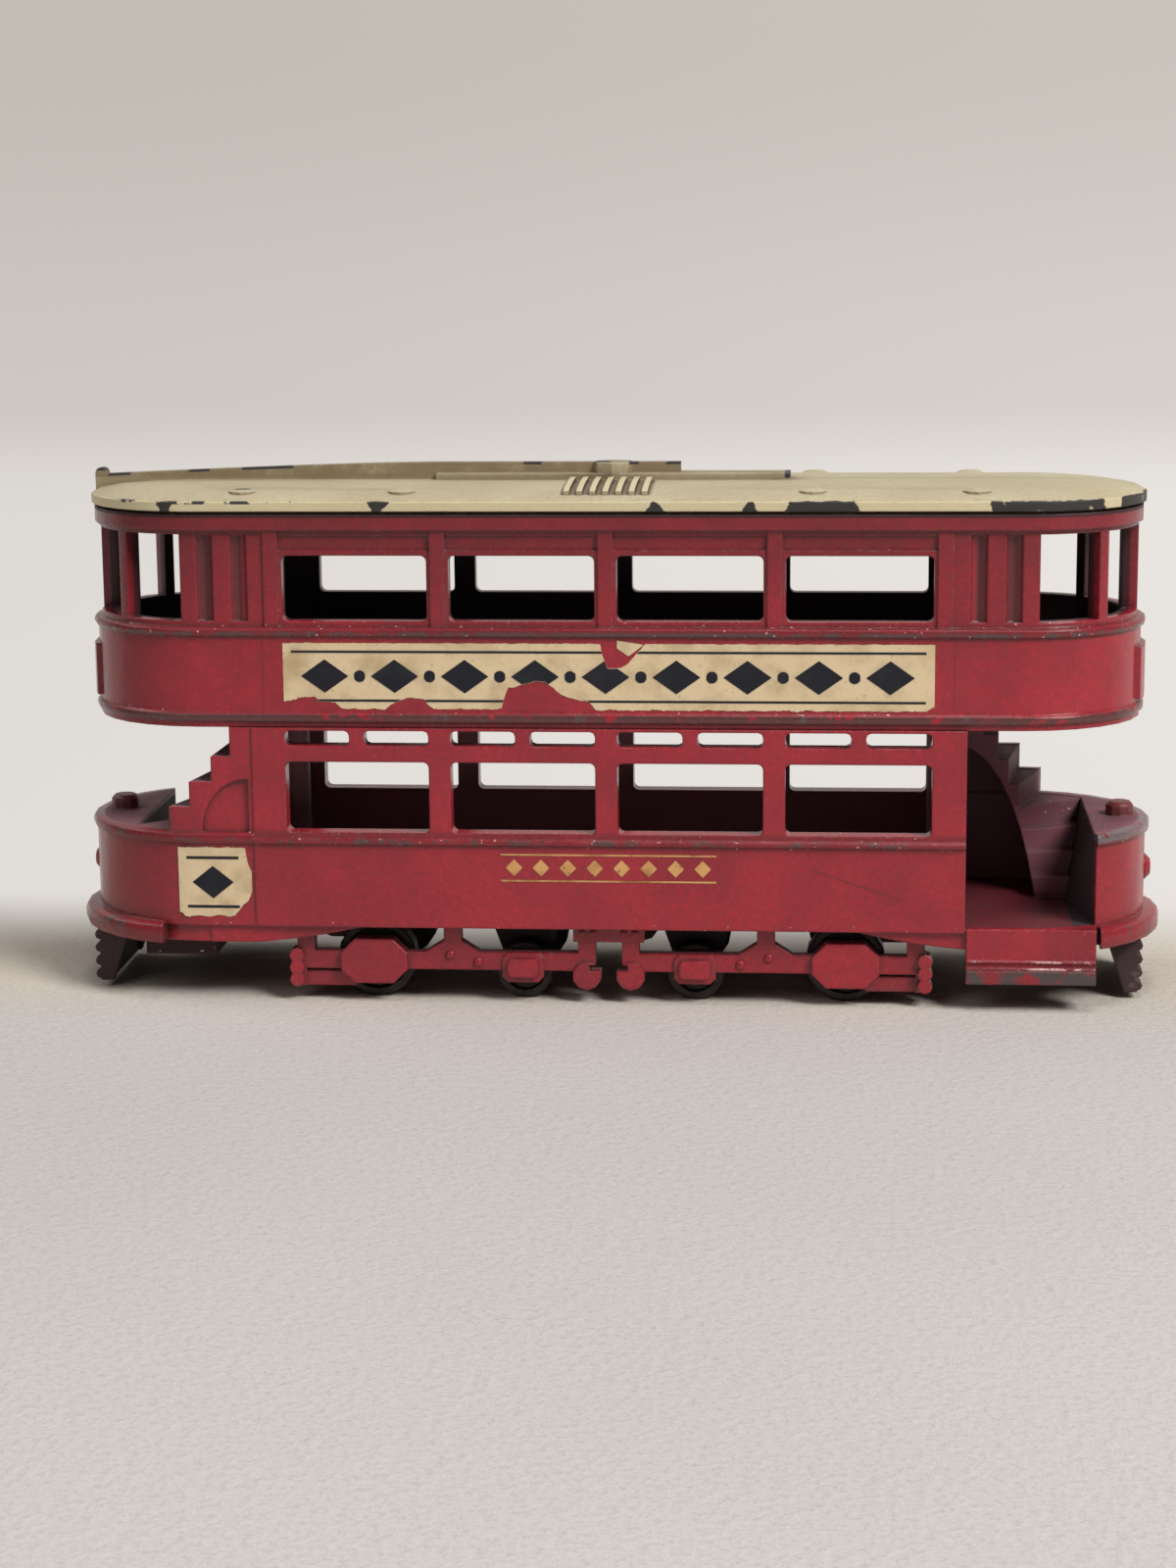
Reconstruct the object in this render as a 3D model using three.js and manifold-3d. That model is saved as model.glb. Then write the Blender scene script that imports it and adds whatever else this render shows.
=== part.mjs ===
// A die-cast toy tram with two decks, in millimetres: +X along the tram, +Z up, the ground at Z = 0.
// The castings repeat when turned half a turn about Z, so the two entrances lie at opposite corners.
import * as THREE from "three";
import { mergeVertices } from "three/addons/utils/BufferGeometryUtils.js";
import Module from "manifold-3d";

const wasm = await Module();
wasm.setup();

// Bays along both decks
const BAY_COUNT = 4;
const BAY_PITCH = 11.88;
const WINDOW_PILLAR = 1.56;
const WINDOW_CORNER = 0.42;
const CORNER_POST = 1.64;
const QUARTER_LIGHT_DIVIDER = 1.05;
const QUARTER_LIGHT_CORNER = 0.35;

// Heights, each measured up from the one before
const GROUND_CLEARANCE = 5.7;
const WAIST_PANEL = 6.95;
const LOWER_WINDOW = 5.15;
const TRANSOM = 1.15;
const QUARTER_LIGHT = 1.1;
const CANT_RAIL = 0.2;
const DECK_BAND = 0.35;
const DECK_RIM = 0.75;
const DECK_PANEL = 5.4;
const DECK_WAIST_BEAD = 0.7;
const UPPER_SILL = 0.4;
const UPPER_WINDOW = 4.65;
const HEADER = 1.8;
const FASCIA = 1.15;
const ROOF_EDGE = 0.85;
const ROOF_RISE = 0.85;
const PLANK_RISE = 0.45;
const POLE_RISE = 0.75;

// Lower deck
const SALOON_HALF_WIDTH = 9.1;
const WALL = 1.5;
const BULKHEAD = 1.3;
const SILL_BEAD_RADIUS = 0.28;
const SILL_BEAD_DROP = 0.65;

// Platforms at the two ends
const DASH_REACH = 4.3;
const DASH_RADIUS = 9;
const DASH_WALL = 1.1;
const DASH_HEIGHT = 6;
const DASH_BLOCK = 5.5;
const DASH_BLOCK_FLARE = 1;
const DASH_BLOCK_LEAN = 1.3;
const DASH_SEAM = 0.16;
const DASH_SEAM_DEPTH = 0.1;
const SEAM_FROM_BUMPER = 0.6;
const RAIL_HEIGHT = 0.9;
const RAIL_PROUD = 0.28;
const PLATFORM_LIFT = 0.3;
const PLATFORM_DROP = 1.25;
const PLATFORM_RECESS = 0.35;
const ENTRANCE_WIDTH = 9.6;
const BUMPER_PROUD = 1.1;
const BUMPER_HEIGHT = 1.5;
const BUMPER_EDGE = 0.45;
const BUMPER_DROP = 0.1;
const BUMPER_SIDE_REACH = 6.8;
const CONTROLLER_RADIUS = 1.02;
const CONTROLLER_RISE = 1;
const CONTROLLER_INSET = 1.9;
const CONTROLLER_BEVEL = 0.25;
const HEADLAMP_RADIUS = 1;
const HEADLAMP_PROUD = 0.4;
const HEADLAMP_CROWN = 0.6;
const HEADLAMP_DROP = 2.95;
const BEARER_RUN = 7.9;
const BEARER_INSET = 0.35;
const BEARER_WIDTH = 1.3;
const BEARER_SAG = 0.3;

// Stairs
const STEP_RISE = 1.85;
const STAIR_TOP_DROP = 2.15;
const STAIR_HEAD = 1.6;
const STAIR_INNER = 2.1;
const STAIR_WALL = 1;
const FLIGHT_STEPS = 3;
const FLIGHT_INNER_START = 2.7;
const FLIGHT_INNER_RUN = 0.75;
const FLIGHT_OUTER_START = 3;
const FLIGHT_OUTER_RUN = 1.65;
const WINDER_RISE = 1.65;
const WINDER_ANGLES = [40, 24, 10];
const FIRST_STEP_RUN = 0.75;
const STRINGER_FOOT = 5.5;
const STRINGER_TOP_DROP = 2.95;
const STRINGER_BEND = 3.8;
const STRINGER_BEND_DROP = 4.05;
const ARCH_RUN = 3.4;
const ARCH_RISE = 3.9;
const ARCH_DEPTH = 0.3;

// Entrance steps and lifeguards
const STEP_DEPTH = 1.7;
const STEP_DROP = 2.95;
const STEP_LIP = 0.95;
const STEP_LIP_PROUD = 0.4;
const STEP_INNER_GAP = 0.1;
const STEP_OUTER_GAP = 0.35;
const STEP_RIB_RADIUS = 0.14;
const STEP_RIB_PITCH = 0.5;
const STEP_RIB_LIFT = 0.1;
const STEP_RIBS = 2;
const STIFFENER_LENGTH = 5.2;
const STIFFENER_DROP = 1.3;
const STIFFENER_START = 3.3;
const GUARD_GROUND_GAP = 0.5;
const GUARD_HALF_WIDTH = 5;
const GUARD_SLAT_RADIUS = 0.38;
const GUARD_SLATS = 4;
const GUARD_TOP_DEPTH = 2.4;
const GUARD_FOOT_DEPTH = 0.9;
const GUARD_PLATE = 0.7;

// Upper deck
const DECK_REACH = 3.8;
const DECK_RADIUS = 8.85;
const DECK_FLOOR = 1.1;
const RIM_PROUD = 0.3;
const WINDOW_RECESS = 0.3;
const STRIP_WIDTH = 1.1;
const STRIP_PROUD = 0.12;
const HEADER_RECESS = 0.15;
const HEADER_FRAME = 0.4;
const FLUTE_RADIUS = 0.78;
const FLUTE_DEPTH = 0.35;
const FLUTE_PITCH = 2.45;
const FLUTE_START = 2.3;
const END_PILLAR = 0.9;
const CENTRE_PILLAR = 1.8;
const END_PILLAR_ANGLE = 48.5;
const END_WINDOW_DROP = 0.3;
const BLIND_CORNER = 1.1;
const DESTINATION_WIDTH = 6;
const DESTINATION_HEIGHT = 3.8;
const DESTINATION_LIFT = 0.25;
const DESTINATION_PROUD = 0.35;

// Roof
const ROOF_OVERHANG = 0.15;
const ROOF_GAP = 0.22;
const ROOF_GAP_DEPTH = 0.5;
const CROWN_HALF_WIDTH = 1.4;
const PLANK_LENGTH = 25.6;
const PLANK_WIDTH = 2.7;
const POLE_WIDTH = 0.8;
const POLE_END_X = 4.9;
const POLE_FOOT_DROP = 0.8;
const POLE_END_INSET = 0.15;
const HOOK_LENGTH = 0.9;
const HOOK_RISE = 0.45;
const TROLLEY_RADIUS = 1.55;
const LOUVRE_COUNT = 7;
const LOUVRE_PITCH = 0.92;
const LOUVRE_WIDTH = 0.42;
const LOUVRE_LENGTH = 6.2;
const LOUVRE_RISE = 0.28;
const VENT_RADIUS = 1;
const VENT_TOP_RADIUS = 0.65;
const VENT_RISE = 0.25;
const VENT_EDGE = 0.05;
const VENT_SINK = 0.29;
const VENT_INSET = 2.1;
const VENT_INNER_X = 14.5;
const VENT_OUTER_X = 25.9;
const PEG_RADIUS = 0.75;
const PEG_LENGTH = 4;

// Running gear
const LARGE_WHEEL_RADIUS = 2.9;
const SMALL_WHEEL_RADIUS = 2.1;
const LARGE_AXLE_X = 17;
const SMALL_AXLE_X = 6.2;
const WHEEL_WIDTH = 1.5;
const WHEEL_RIM = 0.55;
const WHEEL_FACE_RECESS = 0.35;
const HUB_RADIUS = 1.05;
const AXLE_RADIUS = 0.6;
const AXLE_FIT = 0.02;
const AXLE_RUNNING_CLEARANCE = 0.05;
const WHEEL_GAP = 0.25;
const BASE_THICKNESS = 0.8;
const BASE_END_GAP = 0.25;
const LUG_WIDTH = 1.1;
const LUG_WALL = 0.75;
const LUG_ROOT_SPREAD = 1;

// Truck side frames
const FRAME_INSET = 1.1;
const FRAME_WIDTH = 1;
const FRAME_RELIEF = 0.45;
const FRAME_BAR = 1.3;
const FRAME_BAR_LIFT = 0.12;
const FRAME_ROOT = 0.4;
const AXLE_BOX_LENGTH = 4.8;
const AXLE_BOX_HEIGHT = 3.25;
const AXLE_BOX_CHAMFER = 1;
const SMALL_BOX_LENGTH = 2.2;
const SMALL_BOX_HEIGHT = 1.36;
const SMALL_HOUSING_MARGIN = 0.4;
const SMALL_BOX_LIFT = 0.5;
const STRUT_WIDTH = 1.28;
const STRUT_FOOT_SPREAD = 1.3;
const STRUT_FOOT_RISE = 0.85;
const STRUT_FROM_LARGE_AXLE = 5.7;
const OUTER_STRUT_FROM_LARGE_AXLE = 5;
const END_CASTING_CLEARANCE = 1.05;
const END_TIE_GAP = 0.2;
const END_BEAD_RADIUS = 0.55;
const END_BEADS = 3;
const POST_X = 1.58;
const POST_WIDTH = 1.25;
const POST_FOOT_RADIUS = 1.05;
const POST_FOOT_CLEARANCE = 1;
const POST_SLOT = 0.45;
const POST_SLOT_LIFT = 0.37;
const POST_SLOT_DEPTH = 0.85;
const BRACKET_HALF_LENGTH = 2.55;
const BRACKET_DROP = 1.15;

// Rivets
const RIVET_RADIUS = 0.6;
const RIVET_CLEARANCE = 0.05;
const RIVET_HEAD_RADIUS = 1;
const RIVET_HEAD_RISE = 0.45;
const RIVET_CROWN_RADIUS = 0.6;
const RIVET_CROWN_DROP = 0.07;
const RIVET_INSET = 0.1;
const RIVET_LENGTH = 3.2;
const COLUMN_RADIUS = 1.2;
const PEG_COLUMN_RADIUS = 1.3;
const PEG_COLUMN_GAP = 0.3;

// Facets of round forms, and the share of a rounded band's height that its edges take
const END_FACETS = 7;
const CORNER_FACETS = 2;
const SMALL_CORNER_FACETS = 1;
const WHEEL_FACETS = 16;
const ROUND_FACETS = 14;
const SMALL_FACETS = 10;
const SLAT_FACETS = 8;
const BEAD_FACETS = 6;
const DOME_FACETS = 4;
const CAMBER_STEPS = 4;
const BAND_ROUNDING = 0.42;
const OVERCUT = 1;

// Places that follow from the sizes above
const SALOON_HALF = (BAY_COUNT / 2) * BAY_PITCH + CORNER_POST;
const WINDOW_WIDTH = BAY_PITCH - WINDOW_PILLAR;
const DASH_CENTRE = SALOON_HALF + DASH_REACH;
const DECK_CENTRE = SALOON_HALF + DECK_REACH;
const ENTRANCE_EDGE = SALOON_HALF + ENTRANCE_WIDTH;
const BAY_CENTRES = Array.from({ length: BAY_COUNT }, (_, i) => (i - (BAY_COUNT - 1) / 2) * BAY_PITCH);
const RIVET_X = SALOON_HALF - BULKHEAD - RIVET_INSET;
const PEG_X = RIVET_X + RIVET_HEAD_RADIUS + PEG_COLUMN_GAP + PEG_COLUMN_RADIUS;

const SILL_Z = GROUND_CLEARANCE + WAIST_PANEL;
const LOWER_TOP_Z = SILL_Z + LOWER_WINDOW;
const QUARTER_Z = LOWER_TOP_Z + TRANSOM;
const SPLIT_Z = QUARTER_Z + QUARTER_LIGHT + CANT_RAIL;
const RIM_Z = SPLIT_Z + DECK_BAND;
const PANEL_Z = RIM_Z + DECK_RIM;
const BEAD_Z = PANEL_Z + DECK_PANEL;
const UPPER_WALL_Z = BEAD_Z + DECK_WAIST_BEAD;
const UPPER_SILL_Z = UPPER_WALL_Z + UPPER_SILL;
const UPPER_TOP_Z = UPPER_SILL_Z + UPPER_WINDOW;
const FASCIA_Z = UPPER_TOP_Z + HEADER;
const ROOF_Z = FASCIA_Z + FASCIA;
const ROOF_EDGE_Z = ROOF_Z + ROOF_EDGE;
const CROWN_Z = ROOF_EDGE_Z + ROOF_RISE;
const PLANK_Z = CROWN_Z + PLANK_RISE;
const POLE_Z = PLANK_Z + POLE_RISE;
const PLATFORM_Z = GROUND_CLEARANCE + PLATFORM_LIFT;
const PLATFORM_UNDERSIDE_Z = GROUND_CLEARANCE - PLATFORM_DROP;
const DASH_TOP_Z = GROUND_CLEARANCE + DASH_HEIGHT;
const RAIL_TOP_Z = DASH_TOP_Z + RAIL_HEIGHT;
const BASE_Z = GROUND_CLEARANCE - BASE_THICKNESS;

const FRAME_OUTER = SALOON_HALF_WIDTH - FRAME_INSET;
const FRAME_INNER = FRAME_OUTER - FRAME_WIDTH;
const WHEEL_OUTER = FRAME_INNER - WHEEL_GAP;
const WHEEL_INNER = WHEEL_OUTER - WHEEL_WIDTH;
const LUG_OUTER = WHEEL_INNER - WHEEL_GAP;
const WINDOW_PLANE = DECK_RADIUS - WINDOW_RECESS;
const DECK_INNER = DECK_RADIUS - WALL;
const ROOF_RADIUS = DECK_RADIUS + ROOF_OVERHANG;

// Turns a closed geometry into a solid that can be joined and cut.
function solid(geometry) {
  geometry.deleteAttribute("normal");
  geometry.deleteAttribute("uv");
  const merged = mergeVertices(geometry);
  return new wasm.Manifold(
    new wasm.Mesh({
      numProp: 3,
      vertProperties: merged.attributes.position.array,
      triVerts: new Uint32Array(merged.index.array),
    }),
  );
}

function geometryOf(body) {
  const mesh = body.getMesh();
  const geometry = new THREE.BufferGeometry();
  geometry.setAttribute("position", new THREE.BufferAttribute(mesh.vertProperties, 3));
  geometry.setIndex(new THREE.BufferAttribute(mesh.triVerts, 1));
  return geometry;
}

const join = (...bodies) => bodies.flat().reduce((a, b) => a.add(b));
const cut = (body, ...tools) => tools.flat().reduce((a, b) => a.subtract(b), body);
const halfTurn = (body) => solid(geometryOf(body).rotateZ(Math.PI));
const bothEnds = (body) => [body, halfTurn(body)];

function block(x0, x1, y0, y1, z0, z1) {
  const box = new THREE.BoxGeometry(x1 - x0, y1 - y0, z1 - z0);
  return solid(box.translate((x0 + x1) / 2, (y0 + y1) / 2, (z0 + z1) / 2));
}

// Two distances from the middle plane as a low and a high Y, on the side with that sign.
const sideFaces = (side, inner, outer) => [side * inner, side * outer].sort((a, b) => a - b);

function sideBlock(x0, x1, side, inner, outer, z0, z1) {
  return block(x0, x1, ...sideFaces(side, inner, outer), z0, z1);
}

function rodX(radius, x0, x1, y, z, facets = SMALL_FACETS) {
  const rod = new THREE.CylinderGeometry(radius, radius, x1 - x0, facets).rotateZ(Math.PI / 2);
  return solid(rod.translate((x0 + x1) / 2, y, z));
}

function rodY(radius, x, y0, y1, z, facets = SMALL_FACETS) {
  const rod = new THREE.CylinderGeometry(radius, radius, y1 - y0, facets);
  return solid(rod.translate(x, (y0 + y1) / 2, z));
}

function rodZ(radius, x, y, z0, z1, facets = SMALL_FACETS) {
  const rod = new THREE.CylinderGeometry(radius, radius, z1 - z0, facets).rotateX(Math.PI / 2);
  return solid(rod.translate(x, y, (z0 + z1) / 2));
}

// An outline drawn in plan, raised from z0 to z1.
function planPrism(shape, z0, z1, facets = END_FACETS) {
  const settings = { depth: z1 - z0, bevelEnabled: false, curveSegments: facets };
  return solid(new THREE.ExtrudeGeometry(shape, settings).translate(0, 0, z0));
}

// An outline drawn in X and Z, carried from y0 to y1.
function sidePrism(shape, y0, y1, facets = CORNER_FACETS) {
  const settings = { depth: y1 - y0, bevelEnabled: false, curveSegments: facets };
  return solid(new THREE.ExtrudeGeometry(shape, settings).rotateX(Math.PI / 2).translate(0, y1, 0));
}

// A slab with rounded edges, whose outline swells by proud at mid height.
function roundedSlab(shape, proud, edge, z0, z1, steps = 2, facets = END_FACETS) {
  const geometry = new THREE.ExtrudeGeometry(shape, {
    depth: z1 - z0 - 2 * edge,
    bevelEnabled: true,
    bevelThickness: edge,
    bevelSize: proud,
    bevelSegments: steps,
    curveSegments: facets,
  });
  return solid(geometry.translate(0, 0, z0 + edge));
}

function polygon(...points) {
  return new THREE.Shape(points.map(([x, y]) => new THREE.Vector2(x, y)));
}

// Straight sides with a half circle at each end.
function stadium(centre, radius) {
  const shape = new THREE.Shape();
  shape.absarc(centre, 0, radius, -Math.PI / 2, Math.PI / 2);
  shape.absarc(-centre, 0, radius, Math.PI / 2, 1.5 * Math.PI);
  return shape;
}

function roundedRectangle(x0, x1, y0, y1, radius) {
  const shape = new THREE.Shape();
  shape.absarc(x1 - radius, y0 + radius, radius, -Math.PI / 2, 0);
  shape.absarc(x1 - radius, y1 - radius, radius, 0, Math.PI / 2);
  shape.absarc(x0 + radius, y1 - radius, radius, Math.PI / 2, Math.PI);
  shape.absarc(x0 + radius, y0 + radius, radius, Math.PI, 1.5 * Math.PI);
  return shape;
}

// A full turn of profile points, given as [radius, height], about a vertical axis.
function turnedZ(points, x, y, z, facets = SMALL_FACETS) {
  const profile = points.map(([radius, height]) => new THREE.Vector2(radius, height));
  return solid(new THREE.LatheGeometry(profile, facets).rotateX(Math.PI / 2).translate(x, y, z));
}

// Cuts one window through both sides.
function windowCut(x0, x1, z0, z1, corner, facets = CORNER_FACETS) {
  const reach = SALOON_HALF_WIDTH + OVERCUT;
  return sidePrism(roundedRectangle(x0, x1, z0, z1, corner), -reach, reach, facets);
}

function windowRow(z0, z1) {
  return BAY_CENTRES.map((x) => windowCut(x - WINDOW_WIDTH / 2, x + WINDOW_WIDTH / 2, z0, z1, WINDOW_CORNER));
}

function quarterLights() {
  const inner = QUARTER_LIGHT_DIVIDER / 2;
  const outer = WINDOW_WIDTH / 2;
  const top = QUARTER_Z + QUARTER_LIGHT;
  return BAY_CENTRES.flatMap((x) => [
    windowCut(x - outer, x - inner, QUARTER_Z, top, QUARTER_LIGHT_CORNER, SMALL_CORNER_FACETS),
    windowCut(x + inner, x + outer, QUARTER_Z, top, QUARTER_LIGHT_CORNER, SMALL_CORNER_FACETS),
  ]);
}

// The lower saloon: four walls with windows, open below and above, with a rivet column in each end wall.
function saloon() {
  const inside = SALOON_HALF - BULKHEAD;
  const inner = SALOON_HALF_WIDTH - WALL;
  const outer = SALOON_HALF_WIDTH;
  const walls = block(-SALOON_HALF, SALOON_HALF, -outer, outer, GROUND_CLEARANCE, SPLIT_Z);
  const hollow = block(-inside, inside, -inner, inner, GROUND_CLEARANCE - OVERCUT, SPLIT_Z + OVERCUT);
  const beadZ = SILL_Z - SILL_BEAD_DROP;
  const beads = [-1, 1].map((side) =>
    rodX(SILL_BEAD_RADIUS, -SALOON_HALF, SALOON_HALF, side * outer, beadZ, BEAD_FACETS),
  );
  const columns = [-RIVET_X, RIVET_X].map((x) =>
    rodZ(COLUMN_RADIUS, x, 0, GROUND_CLEARANCE, SPLIT_Z, ROUND_FACETS),
  );
  const shell = cut(walls, hollow, windowRow(SILL_Z, LOWER_TOP_Z), quarterLights());
  return join(shell, beads, columns);
}

// What lies beyond the bulkhead at the +X end.
function beyondBulkhead(body) {
  const reach = DASH_CENTRE + DASH_RADIUS + BUMPER_PROUD + OVERCUT;
  const width = DASH_RADIUS + BUMPER_PROUD + OVERCUT;
  return body.intersect(block(SALOON_HALF, reach, -width, width, 0, SPLIT_Z));
}

// Platform floor, dash and bumper at the +X end, whose entrance is on the -Y side.
function platform() {
  const outline = stadium(DASH_CENTRE, DASH_RADIUS);
  const inset = stadium(DASH_CENTRE, DASH_RADIUS - PLATFORM_RECESS);
  const floor = planPrism(inset, PLATFORM_UNDERSIDE_Z, PLATFORM_Z);
  const dash = planPrism(outline, GROUND_CLEARANCE, DASH_TOP_Z);
  const rail = roundedSlab(outline, RAIL_PROUD, BAND_ROUNDING * RAIL_HEIGHT, DASH_TOP_Z, RAIL_TOP_Z);
  const seamX = SALOON_HALF + BUMPER_SIDE_REACH - SEAM_FROM_BUMPER;
  const seamY = DASH_RADIUS - DASH_SEAM_DEPTH;
  const seam = block(seamX, seamX + DASH_SEAM, seamY, DASH_RADIUS + OVERCUT, 0, DASH_TOP_Z);
  return beyondBulkhead(cut(join(floor, cut(dash, seam), rail, bumper()), platformWell()));
}

// The standing space above the platform floor: the dash's thick end leans away from it, and one side is open.
function platformWell() {
  const blockX = DASH_CENTRE + DASH_RADIUS - DASH_BLOCK;
  const leanX = blockX + DASH_BLOCK_LEAN;
  const width = DASH_RADIUS + RAIL_PROUD + OVERCUT;
  const top = RAIL_TOP_Z + OVERCUT;
  const leaning = polygon([0, PLATFORM_Z], [blockX, PLATFORM_Z], [leanX, RAIL_TOP_Z], [leanX, top], [0, top]);
  const flared = polygon(
    [0, -width],
    [ENTRANCE_EDGE, -width],
    [ENTRANCE_EDGE, -DASH_RADIUS],
    [blockX, -DASH_BLOCK_FLARE],
    [0, -DASH_BLOCK_FLARE],
  );
  const space = join(sidePrism(leaning, -width, width), planPrism(flared, PLATFORM_Z, top));
  const withinWalls = planPrism(stadium(DASH_CENTRE, DASH_RADIUS - DASH_WALL), PLATFORM_Z, top);
  const entrance = block(0, ENTRANCE_EDGE, -width, 0, PLATFORM_Z, top);
  return space.intersect(join(withinWalls, entrance));
}

// A round-edged fender that stops short of the entrance on one side and runs further on the other.
function bumper() {
  const outline = stadium(DASH_CENTRE, DASH_RADIUS + BUMPER_PROUD - BUMPER_EDGE);
  const top = PLATFORM_Z - BUMPER_DROP;
  const slab = roundedSlab(outline, BUMPER_EDGE, BUMPER_EDGE, top - BUMPER_HEIGHT, top);
  const reach = DASH_CENTRE + DASH_RADIUS + BUMPER_PROUD + OVERCUT;
  const width = DASH_RADIUS + BUMPER_PROUD + OVERCUT;
  const entranceSide = block(ENTRANCE_EDGE, reach, -width, 0, 0, SPLIT_Z);
  const closedSide = block(SALOON_HALF + BUMPER_SIDE_REACH, reach, 0, width, 0, SPLIT_Z);
  return slab.intersect(join(entranceSide, closedSide));
}

// The driver's controller stands on the dash's thick end, and a domed headlamp sits on its outer face.
function endFittings() {
  const dashEnd = DASH_CENTRE + DASH_RADIUS;
  const top = RAIL_TOP_Z + CONTROLLER_RISE;
  const controllerX = dashEnd - CONTROLLER_INSET;
  const profile = [
    [0, DASH_TOP_Z],
    [CONTROLLER_RADIUS, DASH_TOP_Z],
    [CONTROLLER_RADIUS, top - CONTROLLER_BEVEL],
    [CONTROLLER_RADIUS - CONTROLLER_BEVEL, top],
    [0, top],
  ];
  const lampProfile = [
    [0, -DASH_WALL],
    [HEADLAMP_RADIUS, -DASH_WALL],
    [HEADLAMP_RADIUS, 0],
    [HEADLAMP_CROWN, HEADLAMP_PROUD],
    [0, HEADLAMP_PROUD],
  ].map(([radius, reach]) => new THREE.Vector2(radius, reach));
  const lamp = new THREE.LatheGeometry(lampProfile, ROUND_FACETS).rotateZ(-Math.PI / 2);
  return [
    turnedZ(profile, controllerX, 0, 0),
    solid(lamp.translate(dashEnd, 0, DASH_TOP_Z - HEADLAMP_DROP)),
  ];
}

// One stair tread as a pillar of plan outline, from inside the platform floor up to the tread.
const tread = (outline, top) => planPrism(outline, PLATFORM_Z - OVERCUT / 2, top);

// The stair at the +X end: a first step that faces the entrance, then winders, then a flight to the bulkhead.
function stair() {
  const outer = DASH_RADIUS;
  const back = SALOON_HALF - OVERCUT / 2;
  const fromBulkhead = (innerX, outerX) =>
    polygon([back, STAIR_INNER], [innerX, STAIR_INNER], [outerX, outer], [back, outer]);
  const headX = SALOON_HALF + STAIR_HEAD;
  const head = tread(fromBulkhead(headX, headX), SPLIT_Z);
  const flight = Array.from({ length: FLIGHT_STEPS }, (_, i) => {
    const innerX = SALOON_HALF + FLIGHT_INNER_START + i * FLIGHT_INNER_RUN;
    const outerX = SALOON_HALF + FLIGHT_OUTER_START + i * FLIGHT_OUTER_RUN;
    return tread(fromBulkhead(innerX, outerX), SPLIT_Z - STAIR_TOP_DROP - i * STEP_RISE);
  });
  const steps = join(head, flight, windersAndFirstStep());
  const withinDash = planPrism(stadium(DASH_CENTRE, DASH_RADIUS), GROUND_CLEARANCE, SPLIT_Z);
  return cut(steps.intersect(withinDash), stairHollow(), stairArch());
}

// Treads that fan out from the newel, each over the next, and a straight one below them.
function windersAndFirstStep() {
  const newelX = SALOON_HALF + FLIGHT_INNER_START + (FLIGHT_STEPS - 1) * FLIGHT_INNER_RUN;
  const farX = newelX + DASH_RADIUS;
  const farY = STAIR_INNER + DASH_RADIUS;
  const topZ = SPLIT_Z - STAIR_TOP_DROP - FLIGHT_STEPS * STEP_RISE;
  const winders = WINDER_ANGLES.map((degrees, i) => {
    const angle = THREE.MathUtils.degToRad(degrees);
    const edge = [newelX + DASH_RADIUS * Math.cos(angle), STAIR_INNER + DASH_RADIUS * Math.sin(angle)];
    const outline = polygon([newelX, STAIR_INNER], edge, [farX, farY], [newelX, farY]);
    return tread(outline, topZ - i * WINDER_RISE);
  });
  const firstY = STAIR_INNER - FIRST_STEP_RUN;
  const blockX = DASH_CENTRE + DASH_RADIUS - DASH_BLOCK + OVERCUT / 2;
  const first = polygon([newelX, firstY], [blockX, firstY], [blockX, farY], [newelX, farY]);
  return [...winders, tread(first, topZ - WINDER_ANGLES.length * WINDER_RISE)];
}

// The space below the stair, open towards the platform under a curved stringer.
function stairHollow() {
  const shape = new THREE.Shape();
  shape.moveTo(SALOON_HALF, PLATFORM_Z);
  shape.lineTo(SALOON_HALF + STRINGER_FOOT, PLATFORM_Z);
  shape.quadraticCurveTo(
    SALOON_HALF + STRINGER_BEND,
    SPLIT_Z - STRINGER_BEND_DROP,
    SALOON_HALF,
    SPLIT_Z - STRINGER_TOP_DROP,
  );
  return sidePrism(shape, STAIR_INNER - OVERCUT, DASH_RADIUS - STAIR_WALL, END_FACETS);
}

// A shallow arched panel on the outer side of the stair, above the rail.
function stairArch() {
  const x = SALOON_HALF + BEARER_INSET;
  const shape = new THREE.Shape();
  shape.moveTo(x, RAIL_TOP_Z);
  shape.lineTo(x + ARCH_RUN, RAIL_TOP_Z);
  shape.absellipse(x, RAIL_TOP_Z, ARCH_RUN, ARCH_RISE, 0, Math.PI / 2);
  return sidePrism(shape, DASH_RADIUS - ARCH_DEPTH, DASH_RADIUS + OVERCUT, DOME_FACETS);
}

// The tapered bearers under the saloon's corner and the platform's edge, on both sides of the +X end.
function bearers() {
  const start = SALOON_HALF - BEARER_RUN;
  const end = SALOON_HALF + BUMPER_SIDE_REACH / 2;
  const shape = new THREE.Shape();
  shape.moveTo(start, GROUND_CLEARANCE);
  const sagZ = PLATFORM_UNDERSIDE_Z + BEARER_SAG;
  shape.quadraticCurveTo((start + SALOON_HALF) / 2, sagZ, SALOON_HALF, PLATFORM_UNDERSIDE_Z);
  shape.lineTo(end, PLATFORM_UNDERSIDE_Z);
  shape.lineTo(end, GROUND_CLEARANCE + PLATFORM_LIFT / 2);
  shape.lineTo(start, GROUND_CLEARANCE + PLATFORM_LIFT / 2);
  const outer = SALOON_HALF_WIDTH - BEARER_INSET;
  const inner = outer - BEARER_WIDTH;
  return [1, -1].map((side) => sidePrism(shape, ...sideFaces(side, inner, outer), DOME_FACETS));
}

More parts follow.
